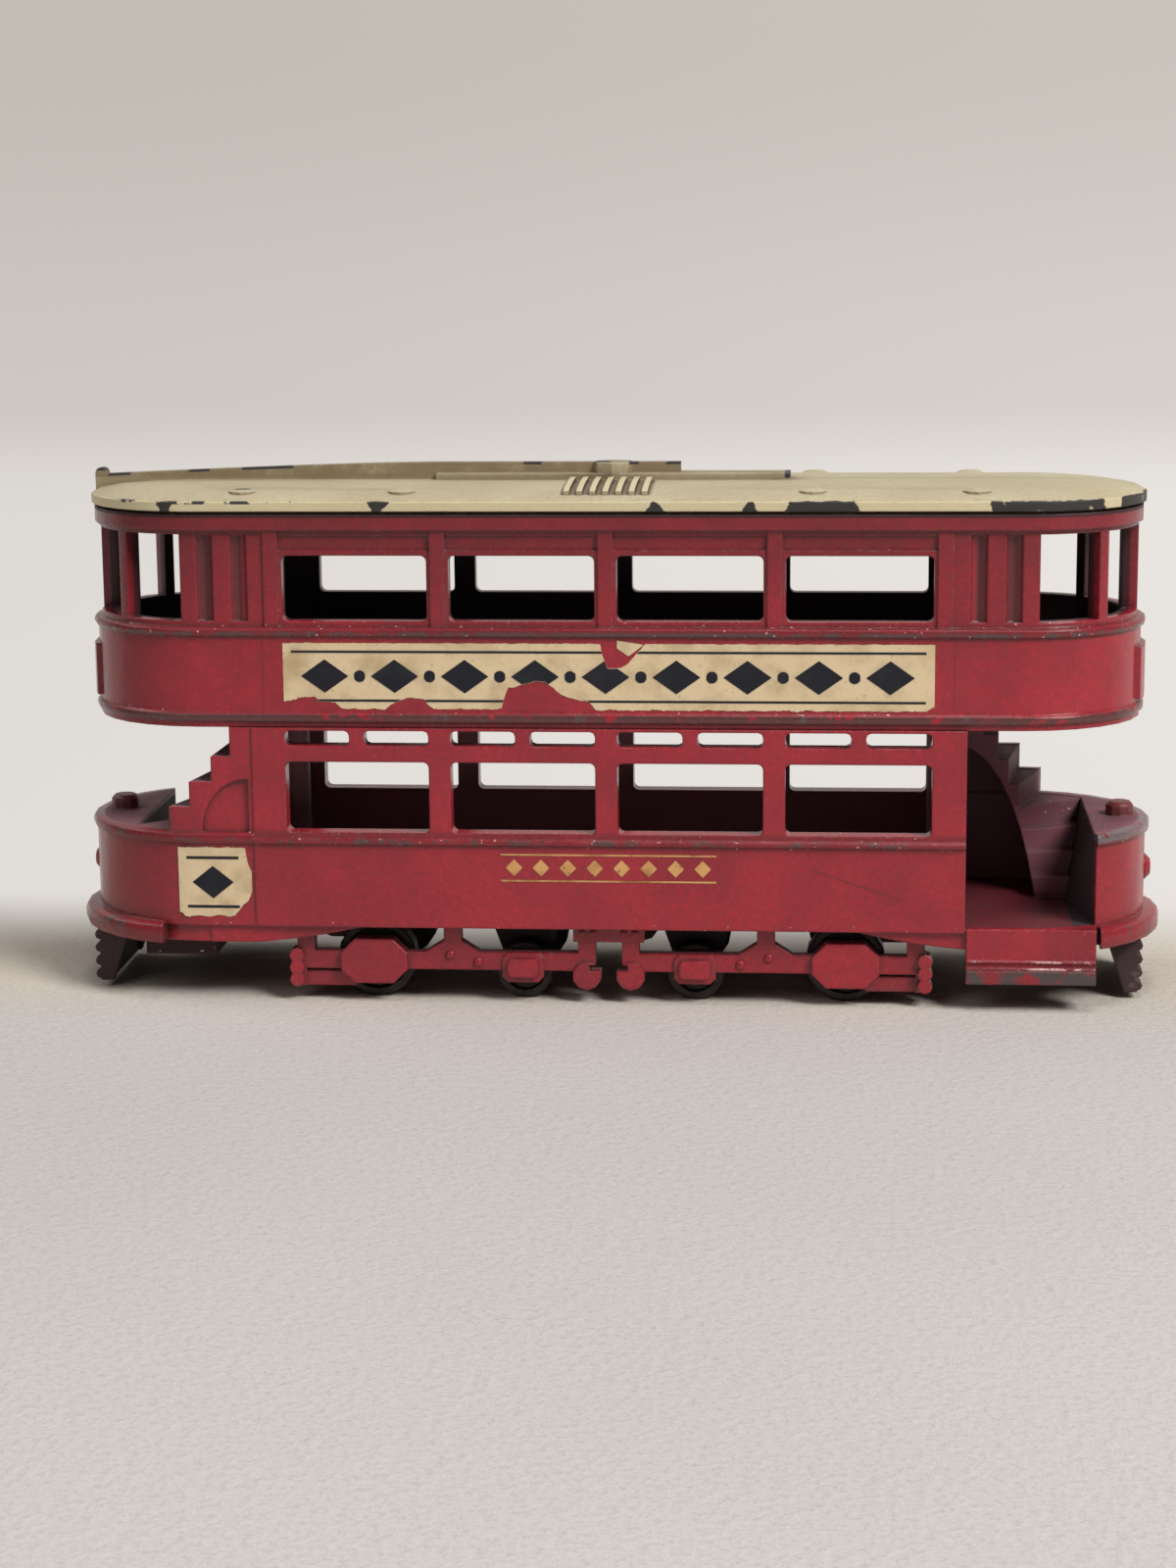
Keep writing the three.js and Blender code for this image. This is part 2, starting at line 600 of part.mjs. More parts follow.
// The step below the +X entrance, with its ribbed riser and lip, and the stiffener under the platform.
function entranceStep() {
  const x0 = SALOON_HALF + STEP_INNER_GAP;
  const x1 = ENTRANCE_EDGE - STEP_OUTER_GAP;
  const face = -SALOON_HALF_WIDTH;
  const back = face + STEP_DEPTH;
  const lipTop = PLATFORM_Z - STEP_DROP;
  const lip = block(x0, x1, face - STEP_LIP_PROUD, back, lipTop - STEP_LIP, lipTop);
  const riser = block(x0, x1, face, back, lipTop - STEP_LIP / 2, PLATFORM_Z);
  const ribs = Array.from({ length: STEP_RIBS }, (_, i) =>
    rodX(STEP_RIB_RADIUS, x0, x1, face, lipTop + STEP_RIB_LIFT + i * STEP_RIB_PITCH, BEAD_FACETS),
  );
  const stiffenerX = SALOON_HALF + STIFFENER_START;
  const stiffener = block(
    stiffenerX,
    stiffenerX + STIFFENER_LENGTH,
    back - OVERCUT / 2,
    -back,
    PLATFORM_UNDERSIDE_Z - STIFFENER_DROP,
    PLATFORM_UNDERSIDE_Z + OVERCUT / 2,
  );
  return [lip, riser, stiffener, ...ribs];
}

// The slatted lifeguard below the +X bumper: two tapered brackets, a plate and round slats across.
function lifeguard() {
  const outer = DASH_CENTRE + DASH_RADIUS - 2 * GUARD_SLAT_RADIUS;
  const top = PLATFORM_UNDERSIDE_Z + OVERCUT / 2;
  const bottom = GUARD_GROUND_GAP;
  const bracket = polygon(
    [outer - GUARD_FOOT_DEPTH, bottom],
    [outer, bottom],
    [outer, top],
    [outer - GUARD_TOP_DEPTH, top],
  );
  const inner = GUARD_HALF_WIDTH - GUARD_PLATE;
  const plate = block(outer - GUARD_PLATE, outer, -GUARD_HALF_WIDTH, GUARD_HALF_WIDTH, bottom, top);
  const pitch = (PLATFORM_UNDERSIDE_Z - bottom) / GUARD_SLATS;
  const slats = Array.from({ length: GUARD_SLATS }, (_, i) => {
    const z = bottom + (i + 0.5) * pitch;
    return rodY(GUARD_SLAT_RADIUS, outer, -GUARD_HALF_WIDTH, GUARD_HALF_WIDTH, z, SLAT_FACETS);
  });
  const brackets = [1, -1].map((side) => sidePrism(bracket, ...sideFaces(side, inner, GUARD_HALF_WIDTH)));
  return [...brackets, plate, ...slats];
}

// An eight-sided axle box in X and Z.
function octagon(x, z, length, height, chamfer) {
  const a = length / 2;
  const b = height / 2;
  return polygon(
    [x - a + chamfer, z - b],
    [x + a - chamfer, z - b],
    [x + a, z - b + chamfer],
    [x + a, z + b - chamfer],
    [x + a - chamfer, z + b],
    [x - a + chamfer, z + b],
    [x - a, z + b - chamfer],
    [x - a, z - b + chamfer],
  );
}

// Half of a truck side frame, towards +X, on the side with that sign.
function halfTruckFrame(side) {
  const barZ = LARGE_WHEEL_RADIUS + FRAME_BAR_LIFT;
  const low = barZ - FRAME_BAR / 2;
  const high = barZ + FRAME_BAR / 2;
  const root = GROUND_CLEARANCE + FRAME_ROOT;
  const endX = LARGE_AXLE_X + OUTER_STRUT_FROM_LARGE_AXLE + STRUT_WIDTH / 2;
  const faces = (relief) => sideFaces(side, FRAME_INNER, FRAME_OUTER + relief);
  const part = (x0, x1, z0, z1, relief = 0) => block(x0, x1, ...faces(relief), z0, z1);
  const carried = (shape, relief = 0) => sidePrism(shape, ...faces(relief), SMALL_CORNER_FACETS);
  const endLow = END_CASTING_CLEARANCE;
  const tieX = LARGE_AXLE_X + AXLE_BOX_LENGTH / 2 - AXLE_BOX_CHAMFER;
  return join(
    part(POST_X, endX, low, high),
    part(-OVERCUT / 2, BRACKET_HALF_LENGTH, GROUND_CLEARANCE - BRACKET_DROP, root, FRAME_RELIEF / 4),
    carried(footedStrut(LARGE_AXLE_X - STRUT_FROM_LARGE_AXLE, barZ, high, root)),
    part(endX - STRUT_WIDTH, endX, barZ, root),
    part(endX - STRUT_WIDTH / 2, endX, endLow, high),
    part(tieX, endX, endLow, low - END_TIE_GAP, -FRAME_RELIEF / 2),
    carried(octagon(LARGE_AXLE_X, barZ, AXLE_BOX_LENGTH, AXLE_BOX_HEIGHT, AXLE_BOX_CHAMFER), FRAME_RELIEF),
    smallAxleBox(carried),
    endBeads(endX, high, faces(FRAME_RELIEF)),
    hookedPost(root, part, faces(FRAME_RELIEF / 2)),
  );
}

// A strut from the bar to the body, with a broad foot.
function footedStrut(x, barZ, high, root) {
  const half = STRUT_WIDTH / 2;
  const foot = half + STRUT_FOOT_SPREAD;
  return polygon(
    [x - foot, barZ],
    [x + foot, barZ],
    [x + foot, high],
    [x + half, high + STRUT_FOOT_RISE],
    [x + half, root],
    [x - half, root],
    [x - half, high + STRUT_FOOT_RISE],
    [x - foot, high],
  );
}

// The small wheel's housing, with a raised cover that has round corners.
function smallAxleBox(carried) {
  const z = SMALL_WHEEL_RADIUS + SMALL_BOX_LIFT;
  const margin = SMALL_HOUSING_MARGIN;
  const half = SMALL_BOX_LENGTH / 2;
  const tall = SMALL_BOX_HEIGHT / 2;
  const housing = octagon(SMALL_AXLE_X, z, 2 * (half + margin), 2 * (tall + margin), margin);
  const cover = roundedRectangle(SMALL_AXLE_X - half, SMALL_AXLE_X + half, z - tall, z + tall, tall / 2);
  return [carried(housing, FRAME_RELIEF / 3), carried(cover, FRAME_RELIEF)];
}

// A column of round heads at the frame's outer end.
function endBeads(x, high, faces) {
  const first = END_CASTING_CLEARANCE + END_BEAD_RADIUS;
  const last = high - END_BEAD_RADIUS / 2;
  const pitch = (last - first) / (END_BEADS - 1);
  return Array.from({ length: END_BEADS }, (_, i) =>
    rodY(END_BEAD_RADIUS, x, ...faces, first + i * pitch, SLAT_FACETS),
  );
}

// The post next to the middle, whose round foot is slotted into a hook.
function hookedPost(root, part, faces) {
  const footZ = POST_FOOT_CLEARANCE + POST_FOOT_RADIUS;
  const slotX = POST_X - POST_FOOT_RADIUS;
  const slotZ = footZ + POST_SLOT_LIFT;
  const reach = SALOON_HALF_WIDTH + OVERCUT;
  const slot = block(slotX - OVERCUT, slotX + POST_SLOT_DEPTH, -reach, reach, slotZ, slotZ + POST_SLOT);
  const post = part(POST_X - POST_WIDTH / 2, POST_X + POST_WIDTH / 2, footZ, root);
  return cut(join(post, rodY(POST_FOOT_RADIUS, POST_X, ...faces, footZ)), slot);
}

// Both trucks' frames on one side: the half towards +X, and its twin from the other side turned half a turn.
const truckFrames = () => [1, -1].flatMap((side) => bothEnds(halfTruckFrame(side)));

function lowerBody() {
  const end = join(platform(), endFittings(), stair(), bearers(), entranceStep(), lifeguard());
  const shaft = RIVET_RADIUS + RIVET_CLEARANCE;
  const baseTip = GROUND_CLEARANCE + RIVET_LENGTH - BASE_THICKNESS;
  const deckTip = SPLIT_Z - RIVET_LENGTH + DECK_FLOOR;
  const holes = [-RIVET_X, RIVET_X].flatMap((x) => [
    rodZ(shaft, x, 0, GROUND_CLEARANCE - OVERCUT, baseTip, ROUND_FACETS),
    rodZ(shaft, x, 0, deckTip, SPLIT_Z + OVERCUT, ROUND_FACETS),
  ]);
  return cut(join(saloon(), bothEnds(end), truckFrames()), holes);
}

// Openings round the curved +X end of the upper deck: a wedge from the arc's centre for each.
function endWindows() {
  const degrees = (width) => THREE.MathUtils.radToDeg(width / WINDOW_PLANE);
  const reach = DECK_RADIUS + OVERCUT;
  const halfPillar = degrees(END_PILLAR) / 2;
  const cornerAngle = 90 - degrees(BLIND_CORNER);
  const spans = [
    [degrees(CENTRE_PILLAR) / 2, END_PILLAR_ANGLE - halfPillar],
    [END_PILLAR_ANGLE + halfPillar, cornerAngle],
  ];
  return spans.flatMap(([from, to]) =>
    [1, -1].map((side) => {
      const angles = [from, (from + to) / 2, to].map((angle) => THREE.MathUtils.degToRad(side * angle));
      const far = angles.map((angle) => [DECK_CENTRE + reach * Math.cos(angle), reach * Math.sin(angle)]);
      return planPrism(polygon([DECK_CENTRE, 0], ...far), UPPER_SILL_Z, FASCIA_Z - END_WINDOW_DROP);
    }),
  );
}

// Concave flutes on the blind corner panels of the +X end.
function flutes() {
  const places = [FLUTE_START, FLUTE_START + FLUTE_PITCH].map((set) => SALOON_HALF - CORNER_POST + set);
  const offset = WINDOW_PLANE + FLUTE_RADIUS - FLUTE_DEPTH;
  return places.flatMap((x) =>
    [1, -1].map((side) => rodZ(FLUTE_RADIUS, x, side * offset, UPPER_SILL_Z, FASCIA_Z - END_WINDOW_DROP)),
  );
}

// Flat strips between the windows, and sunk panels above them, on both sides.
function deckStrips() {
  const places = Array.from({ length: BAY_COUNT + 1 }, (_, i) => (i - BAY_COUNT / 2) * BAY_PITCH);
  const inner = WINDOW_PLANE - WALL / 2;
  const outer = WINDOW_PLANE + STRIP_PROUD;
  const half = STRIP_WIDTH / 2;
  return [1, -1].flatMap((side) =>
    places.map((x) => sideBlock(x - half, x + half, side, inner, outer, UPPER_WALL_Z, FASCIA_Z)),
  );
}

function headerPanels() {
  const half = (BAY_PITCH - STRIP_WIDTH) / 2;
  const inner = WINDOW_PLANE - HEADER_RECESS;
  const outer = WINDOW_PLANE + OVERCUT;
  const low = UPPER_TOP_Z + HEADER_FRAME;
  const high = FASCIA_Z - HEADER_FRAME;
  return [1, -1].flatMap((side) =>
    BAY_CENTRES.map((x) => sideBlock(x - half, x + half, side, inner, outer, low, high)),
  );
}

// The blank destination box that stands out from the panel at the +X end.
function destinationBox() {
  const low = PANEL_Z + DESTINATION_LIFT;
  const high = low + DESTINATION_HEIGHT;
  const slab = planPrism(stadium(DECK_CENTRE, DECK_RADIUS + DESTINATION_PROUD), low, high);
  const half = DESTINATION_WIDTH / 2;
  const reach = DECK_CENTRE + DECK_RADIUS + OVERCUT;
  return slab.intersect(block(DECK_CENTRE, reach, -half, half, low, high));
}

function upperDeck() {
  const level = (radius, z0, z1) => planPrism(stadium(DECK_CENTRE, radius), z0, z1);
  const outline = stadium(DECK_CENTRE, DECK_RADIUS);
  const bead = (z0, z1) => roundedSlab(outline, RIM_PROUD, BAND_ROUNDING * (z1 - z0), z0, z1);
  const walls = join(
    level(DECK_RADIUS, SPLIT_Z, BEAD_Z),
    bead(RIM_Z, PANEL_Z),
    bead(BEAD_Z, UPPER_WALL_Z),
    level(WINDOW_PLANE, BEAD_Z, FASCIA_Z),
    level(DECK_RADIUS, FASCIA_Z, ROOF_Z),
    bothEnds(destinationBox()),
  );
  const hollow = level(DECK_INNER, SPLIT_Z + DECK_FLOOR, ROOF_Z + OVERCUT);
  const panelled = cut(walls, headerPanels(), bothEnds(join(flutes())));
  const windows = [...windowRow(UPPER_SILL_Z, UPPER_TOP_Z), ...bothEnds(join(endWindows()))];
  const open = cut(join(panelled, deckStrips()), hollow, windows);
  const columns = [-PEG_X, PEG_X].map((x) => rodZ(PEG_COLUMN_RADIUS, x, 0, SPLIT_Z, ROOF_Z, ROUND_FACETS));
  const socketZ = ROOF_Z - PEG_LENGTH - RIVET_CLEARANCE;
  const sockets = [-PEG_X, PEG_X].map((x) =>
    rodZ(PEG_RADIUS + RIVET_CLEARANCE, x, 0, socketZ, ROOF_Z + OVERCUT, ROUND_FACETS),
  );
  const shaft = RIVET_RADIUS + RIVET_CLEARANCE;
  const holes = [-RIVET_X, RIVET_X].map((x) =>
    rodZ(shaft, x, 0, SPLIT_Z - OVERCUT, SPLIT_Z + DECK_FLOOR + OVERCUT, ROUND_FACETS),
  );
  return cut(join(open, columns), sockets, holes);
}

// The trolley pole, cast on the roof as a fin that rises from its hook to its swivel.
function trolleyPole() {
  const left = -DECK_CENTRE - ROOF_RADIUS + POLE_END_INSET;
  const footZ = POLE_Z - POLE_FOOT_DROP;
  const base = ROOF_Z + ROOF_EDGE / 2;
  const shape = new THREE.Shape();
  shape.moveTo(left, base);
  shape.lineTo(left, footZ);
  shape.quadraticCurveTo(left, footZ + HOOK_RISE, left + HOOK_LENGTH / 2, footZ + HOOK_RISE);
  shape.quadraticCurveTo(left + HOOK_LENGTH, footZ + HOOK_RISE, left + HOOK_LENGTH, footZ);
  shape.quadraticCurveTo(left / 2, POLE_Z, left / 3, POLE_Z);
  shape.lineTo(POLE_END_X, POLE_Z);
  shape.lineTo(POLE_END_X, base);
  return sidePrism(shape, -POLE_WIDTH / 2, POLE_WIDTH / 2, DOME_FACETS);
}

// The cambered slab, with a shadow gap under its edge, and what is cast on it.
function roof() {
  const reach = DECK_CENTRE + ROOF_RADIUS + OVERCUT;
  const width = ROOF_RADIUS + OVERCUT;
  const below = block(-reach, reach, -width, width, 0, ROOF_Z + ROOF_GAP);
  const seat = planPrism(stadium(DECK_CENTRE, DECK_RADIUS - ROOF_GAP_DEPTH), ROOF_Z, ROOF_EDGE_Z);
  const plankEnd = PLANK_LENGTH / 2;
  const plankSide = PLANK_WIDTH / 2;
  const plank = block(-plankEnd, plankEnd, -plankSide, plankSide, ROOF_EDGE_Z, PLANK_Z);
  const trolley = rodZ(TROLLEY_RADIUS, 0, 0, ROOF_EDGE_Z, POLE_Z, SLAT_FACETS);
  const pegs = [-PEG_X, PEG_X].map((x) =>
    rodZ(PEG_RADIUS, x, 0, ROOF_Z - PEG_LENGTH, ROOF_EDGE_Z, ROUND_FACETS),
  );
  return join(cut(camber(0), below), seat, plank, trolley, trolleyPole(), louvres(), roofVents(), pegs);
}

// The roof's curved form, raised by lift.
function camber(lift) {
  const outline = stadium(DECK_CENTRE, CROWN_HALF_WIDTH);
  const low = ROOF_Z - ROOF_EDGE - ROOF_RISE + lift;
  return roundedSlab(outline, ROOF_RADIUS - CROWN_HALF_WIDTH, ROOF_RISE, low, CROWN_Z + lift, CAMBER_STEPS);
}

// Rows of bars on both sides of the plank, which follow the camber.
function louvres() {
  const inner = PLANK_WIDTH / 2 + LOUVRE_WIDTH;
  const outer = inner + LOUVRE_LENGTH;
  const low = ROOF_Z + ROOF_GAP;
  const half = LOUVRE_WIDTH / 2;
  const places = Array.from({ length: LOUVRE_COUNT }, (_, i) => (i - (LOUVRE_COUNT - 1) / 2) * LOUVRE_PITCH);
  const bars = places.flatMap((x) =>
    [1, -1].map((side) => sideBlock(x - half, x + half, side, inner, outer, low, PLANK_Z)),
  );
  return camber(LOUVRE_RISE).intersect(join(bars));
}

// Low round vents along both sides of the roof.
function roofVents() {
  const profile = [
    [0, -ROOF_RISE / 2],
    [VENT_RADIUS, -ROOF_RISE / 2],
    [VENT_RADIUS, VENT_EDGE],
    [VENT_TOP_RADIUS, VENT_RISE - VENT_EDGE],
    [0, VENT_RISE],
  ];
  const y = ROOF_RADIUS - VENT_INSET;
  const z = CROWN_Z - VENT_SINK;
  const places = [-VENT_OUTER_X, -VENT_INNER_X, VENT_INNER_X, VENT_OUTER_X];
  return places.flatMap((x) => [1, -1].map((side) => turnedZ(profile, x, side * y, z)));
}

const AXLES = [
  { name: "large_a", x: -LARGE_AXLE_X, radius: LARGE_WHEEL_RADIUS },
  { name: "small_a", x: -SMALL_AXLE_X, radius: SMALL_WHEEL_RADIUS },
  { name: "small_b", x: SMALL_AXLE_X, radius: SMALL_WHEEL_RADIUS },
  { name: "large_b", x: LARGE_AXLE_X, radius: LARGE_WHEEL_RADIUS },
];

// The plate that closes the body from below, with two bored lugs for each axle.
function basePlate() {
  const end = SALOON_HALF - BASE_END_GAP;
  const plate = block(-end, end, -LUG_OUTER, LUG_OUTER, BASE_Z, GROUND_CLEARANCE);
  const lugHalf = AXLE_RADIUS + AXLE_RUNNING_CLEARANCE + LUG_WALL;
  const rootHalf = lugHalf + LUG_ROOT_SPREAD;
  const lugs = AXLES.flatMap(({ x, radius }) =>
    [1, -1].map((side) => {
      const shape = new THREE.Shape();
      shape.moveTo(x + rootHalf, BASE_Z + BASE_THICKNESS / 2);
      shape.lineTo(x - rootHalf, BASE_Z + BASE_THICKNESS / 2);
      shape.lineTo(x - rootHalf, BASE_Z);
      shape.lineTo(x - lugHalf, radius);
      shape.absarc(x, radius, lugHalf, Math.PI, 2 * Math.PI);
      shape.lineTo(x + rootHalf, BASE_Z);
      return sidePrism(shape, ...sideFaces(side, LUG_OUTER - LUG_WIDTH, LUG_OUTER), DOME_FACETS);
    }),
  );
  const bore = AXLE_RADIUS + AXLE_RUNNING_CLEARANCE;
  const width = LUG_OUTER + OVERCUT;
  const bores = AXLES.map(({ x, radius }) => rodY(bore, x, -width, width, radius, ROUND_FACETS));
  const holes = [-RIVET_X, RIVET_X].map((x) =>
    rodZ(RIVET_RADIUS + RIVET_CLEARANCE, x, 0, BASE_Z - OVERCUT, GROUND_CLEARANCE + OVERCUT, ROUND_FACETS),
  );
  return cut(join(plate, lugs), bores, holes);
}

// A disc wheel about its own centre, outer face towards +Y, with a raised rim and hub.
function wheel(radius) {
  const bore = AXLE_RADIUS + AXLE_FIT;
  const outer = WHEEL_WIDTH / 2;
  const web = outer - WHEEL_FACE_RECESS;
  const rim = radius - WHEEL_RIM;
  const edge = WHEEL_RIM / 4;
  const profile = [
    [bore, -outer],
    [radius, -outer],
    [radius, outer - edge],
    [radius - edge, outer],
    [rim, outer],
    [rim - edge, web],
    [HUB_RADIUS + edge, web],
    [HUB_RADIUS, outer],
    [bore, outer],
    [bore, -outer],
  ].map(([r, y]) => new THREE.Vector2(r, y));
  return geometryOf(solid(new THREE.LatheGeometry(profile, WHEEL_FACETS)));
}

// A round-headed rivet about its own shoulder, with its head downwards.
function rivet() {
  const profile = [
    [0, -RIVET_HEAD_RISE],
    [RIVET_CROWN_RADIUS, RIVET_CROWN_DROP - RIVET_HEAD_RISE],
    [RIVET_HEAD_RADIUS, 0],
    [RIVET_RADIUS, 0],
    [RIVET_RADIUS, RIVET_LENGTH - RIVET_CLEARANCE],
    [0, RIVET_LENGTH - RIVET_CLEARANCE],
  ].map(([r, y]) => new THREE.Vector2(r, y));
  return geometryOf(solid(new THREE.LatheGeometry(profile, ROUND_FACETS).rotateX(Math.PI / 2)));
}

const tram = new THREE.Group();

function add(name, geometry, material, parent = tram) {
  const mesh = new THREE.Mesh(geometry, material);
  mesh.name = name;
  parent.add(mesh);
  return mesh;
}

const finish = (color, roughness, metalness) => () =>
  new THREE.MeshStandardMaterial({ color, roughness, metalness });
const redPaint = finish(0x8e2430, 0.45, 0.1);
const creamPaint = finish(0xcbbd93, 0.55, 0.05);
const darkCasting = finish(0x34302f, 0.6, 0.6);
const wheelMetal = finish(0x3d3f3c, 0.5, 0.8);
const steel = finish(0x8d8b88, 0.4, 0.9);

add("lower_body", geometryOf(lowerBody()), redPaint());
add("upper_deck", geometryOf(upperDeck()), redPaint());
add("roof", geometryOf(roof()), creamPaint());
add("base_plate", geometryOf(basePlate()), darkCasting());

for (const { name, x, radius } of AXLES) {
  const wheelset = new THREE.Group();
  wheelset.position.set(x, 0, radius);
  tram.add(wheelset);
  const axle = new THREE.CylinderGeometry(AXLE_RADIUS, AXLE_RADIUS, 2 * WHEEL_OUTER, ROUND_FACETS);
  add("axle_" + name, axle, steel(), wheelset);
  const middle = (WHEEL_OUTER + WHEEL_INNER) / 2;
  add("wheel_" + name + "_far", wheel(radius), wheelMetal(), wheelset).position.y = middle;
  const near = add("wheel_" + name + "_near", wheel(radius), wheelMetal(), wheelset);
  near.position.y = -middle;
  near.rotation.z = Math.PI;
}

for (const [end, x] of [["a", -RIVET_X], ["b", RIVET_X]]) {
  add("base_rivet_" + end, rivet(), steel()).position.set(x, 0, BASE_Z);
  const deckRivet = add("deck_rivet_" + end, rivet(), steel());
  deckRivet.position.set(x, 0, SPLIT_Z + DECK_FLOOR);
  deckRivet.rotation.x = Math.PI;
}

export default tram;
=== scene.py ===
"""A worn die-cast toy tram: finishes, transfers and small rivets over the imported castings."""

import math

import bmesh
import bpy
from mathutils import Matrix, Vector, noise


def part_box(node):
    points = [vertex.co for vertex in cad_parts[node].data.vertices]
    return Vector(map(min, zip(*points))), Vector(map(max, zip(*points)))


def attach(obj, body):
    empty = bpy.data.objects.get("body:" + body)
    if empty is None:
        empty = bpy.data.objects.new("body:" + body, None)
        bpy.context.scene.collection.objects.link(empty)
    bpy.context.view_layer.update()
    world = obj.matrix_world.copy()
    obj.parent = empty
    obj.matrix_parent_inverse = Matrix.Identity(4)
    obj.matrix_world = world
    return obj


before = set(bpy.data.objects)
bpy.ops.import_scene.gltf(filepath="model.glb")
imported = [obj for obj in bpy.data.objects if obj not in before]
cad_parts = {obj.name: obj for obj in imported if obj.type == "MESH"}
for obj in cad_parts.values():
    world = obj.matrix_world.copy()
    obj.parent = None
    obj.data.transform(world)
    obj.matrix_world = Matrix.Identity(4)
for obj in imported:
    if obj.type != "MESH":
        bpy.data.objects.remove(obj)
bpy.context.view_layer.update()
MM = 0.001
BODY = "tram"

# The castings' upper corners, read from the frame. All sizes down to the colours are in millimetres.
deck_high = Vector(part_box("upper_deck")[1]) / MM
body_high = Vector(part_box("lower_body")[1]) / MM
roof_high = Vector(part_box("roof")[1]) / MM

# Upper deck: plan, waist panel, windows and fluted corners
SPLIT_Z = body_high.z
ROOF_Z = deck_high.z
DECK_RADIUS = 8.85
DECK_CENTRE = 29.2
DECK_INNER = 7.35
PANEL_LOW = SPLIT_Z + 1.1
PANEL_HIGH = PANEL_LOW + 5.4
PANEL_SEAM = 24.45
UPPER_SILL = PANEL_HIGH + 0.7
UPPER_WINDOW_TOP = ROOF_Z - 1.7
WINDOW_PLANE = DECK_RADIUS - 0.3
REVEAL_START = WINDOW_PLANE - 0.45
FLUTES = (25.9, 31.5)

# Lower body: saloon, platforms with their dashes, steps, bumpers, lifeguards and truck frames
SALOON_SIDE = 9.1
SALOON_HALF = 25.4
SALOON_INNER = 7.5
SALOON_INNER_HALF = 24.2
LOWER_SILL = 12.65
SIDE_FOOT = 5.85
DASH_RADIUS = 9.0
DASH_CENTRE = 29.7
DASH_INNER = 8.4
PLATFORM_Z = 6.0
PLATFORM_UNDER = 4.45
UNDERSIDE_HALF = 8.5
CONTROLLER_START = 31.4
HOLLOW_WALL = 7.5
HOLLOW_END = 31.2
BLOCK_FOOT = 33.2
BLOCK_LEAN = 0.197
RAIL_LOW = 11.7
RAIL_HIGH = 12.6
BUMPER_TOP = 5.95
BUMPER_NOSE = 34.8
STEP_LIP_TOP = 3.05
STEP_FACE = 9.1
STEP_SPAN = (26.0, 34.4)
STEP_RIBS = [(3.1, 3.25), (3.6, 3.75)]
GUARD_START = 35.6
GUARD_HALF = 5.2
FRAME_FACE = 8.0

# Roof: edge, plank, louvres, one ventilator, and the pole that falls to its hook
ROOF_RADIUS = roof_high.y
ROOF_TOP = roof_high.z
ROOF_EDGE = 0.8
PLANK_TOP = ROOF_TOP - 0.75
PLANK_END = 12.8
PLANK_HALF = 1.4
FIN_HALF = 0.45
LOUVRES_HALF = 3.3
LOUVRES_ACROSS = (1.6, 7.9)
VENT_X = 25.9
VENT_Y = ROOF_RADIUS - 2.1
VENT_RADIUS = 0.55
POLE_HALF = 0.6
POLE_LEVEL_FROM = -12.8
POLE_FALL_RUN = 24.6
POLE_FALL = 0.8
POLE_FALL_POWER = 1.4
HOOK_TOP = ROOF_TOP - 0.35
HOOK_START = -36.9

# Wear, painted shade on the left end, darkening towards the top, and flecks with painted glints: pairs of
# where a mask sets in and where it is full, along one axis
SHADE_LEFT = (-24.0, -38.0)
DARKER_HIGH = (25.0, 34.5)
RAIL_BARE = (30.0, 33.5)
FEET_BARE = (1.7, 1.0)
SILL_FLECKS_AND_GLINTS = (-27.0, -25.0)
POLE_STREAKS = (2.6, 0.4)

# One scratch on the lower side, by its middle, slope and half length
SCUFF_X = 17.85
SCUFF_Z = 9.1
SCUFF_SLOPE = -0.34
SCUFF_HALF = 3.25

# Where the paint is off the roof's near edge: the span along X at the foot, and how far both ends draw in
# from there to the head
ROOF_CHIPS = [
    (-31.45, -30.95, -0.3),
    (-16.1, -15.9, -0.7),
    (2.75, 4.4, 0.6),
    (9.55, 10.75, 0.35),
    (12.4, 17.9, 0.4),
    (26.8, 34.7, 0.1),
    (36.0, 40.0, 0.0),
]

# Where small dashes of it are off the roof's upper arris, along X
ROOF_DASHES = (-35.0, -22.0)

# Where it is off the top of the pole, as spans along X
POLE_CHIPS = [
    (-37.2, -35.4),
    (-31.1, -29.6),
    (-27.2, -23.4),
    (-6.5, -5.2),
    (-1.35, -0.2),
    (1.1, 1.9),
    (3.9, 5.1),
]

# Transfers: films drawn as columns along X, each from a low to a high edge, laid on the -Y side
COLUMN = 0.06
FINE_COLUMN = 0.03
FILM = 0.025
FILM_ROWS = 6
THINNEST_FILM = 0.02
MOTIF_MARGIN = 0.04

# The large sheet's torn outline: heights above its foot and drops below its head, along X
SHEET_FOOT = PANEL_LOW + 0.25
SHEET_HEAD = PANEL_HIGH - 0.42
SHEET_RISES = [
    (-22.98, 0.55), (-22.2, 0.65), (-21.4, 0.9), (-20.65, 0.88), (-20.6, 0.55), (-19.3, 0.45),
    (-18.75, 0.0), (-15.75, 0.0), (-15.3, 0.3), (-14.8, 0.5), (-14.2, 0.85), (-12.95, 0.75),
    (-12.6, 0.3), (-12.2, 0.0), (-7.4, 0.05), (-7.1, 1.1), (-6.9, 1.6), (-5.7, 1.8), (-5.0, 2.05),
    (-4.35, 2.0), (-3.8, 1.65), (-3.2, 1.1), (-2.25, 0.8), (-1.2, 0.55), (-0.7, 0.0), (22.5, 0.0),
    (23.08, 0.35),
]
SHEET_DROPS = [
    (-0.35, 0.0), (-0.25, 0.7), (0.15, 1.75), (1.1, 1.72), (1.55, 1.45), (1.9, 1.05), (2.75, 0.05),
    (2.8, 0.0),
]
SHEET_START = SHEET_RISES[0][0]
SHEET_END = SHEET_RISES[-1][0]
SHEET_MIDDLE = (SHEET_FOOT + SHEET_HEAD) / 2

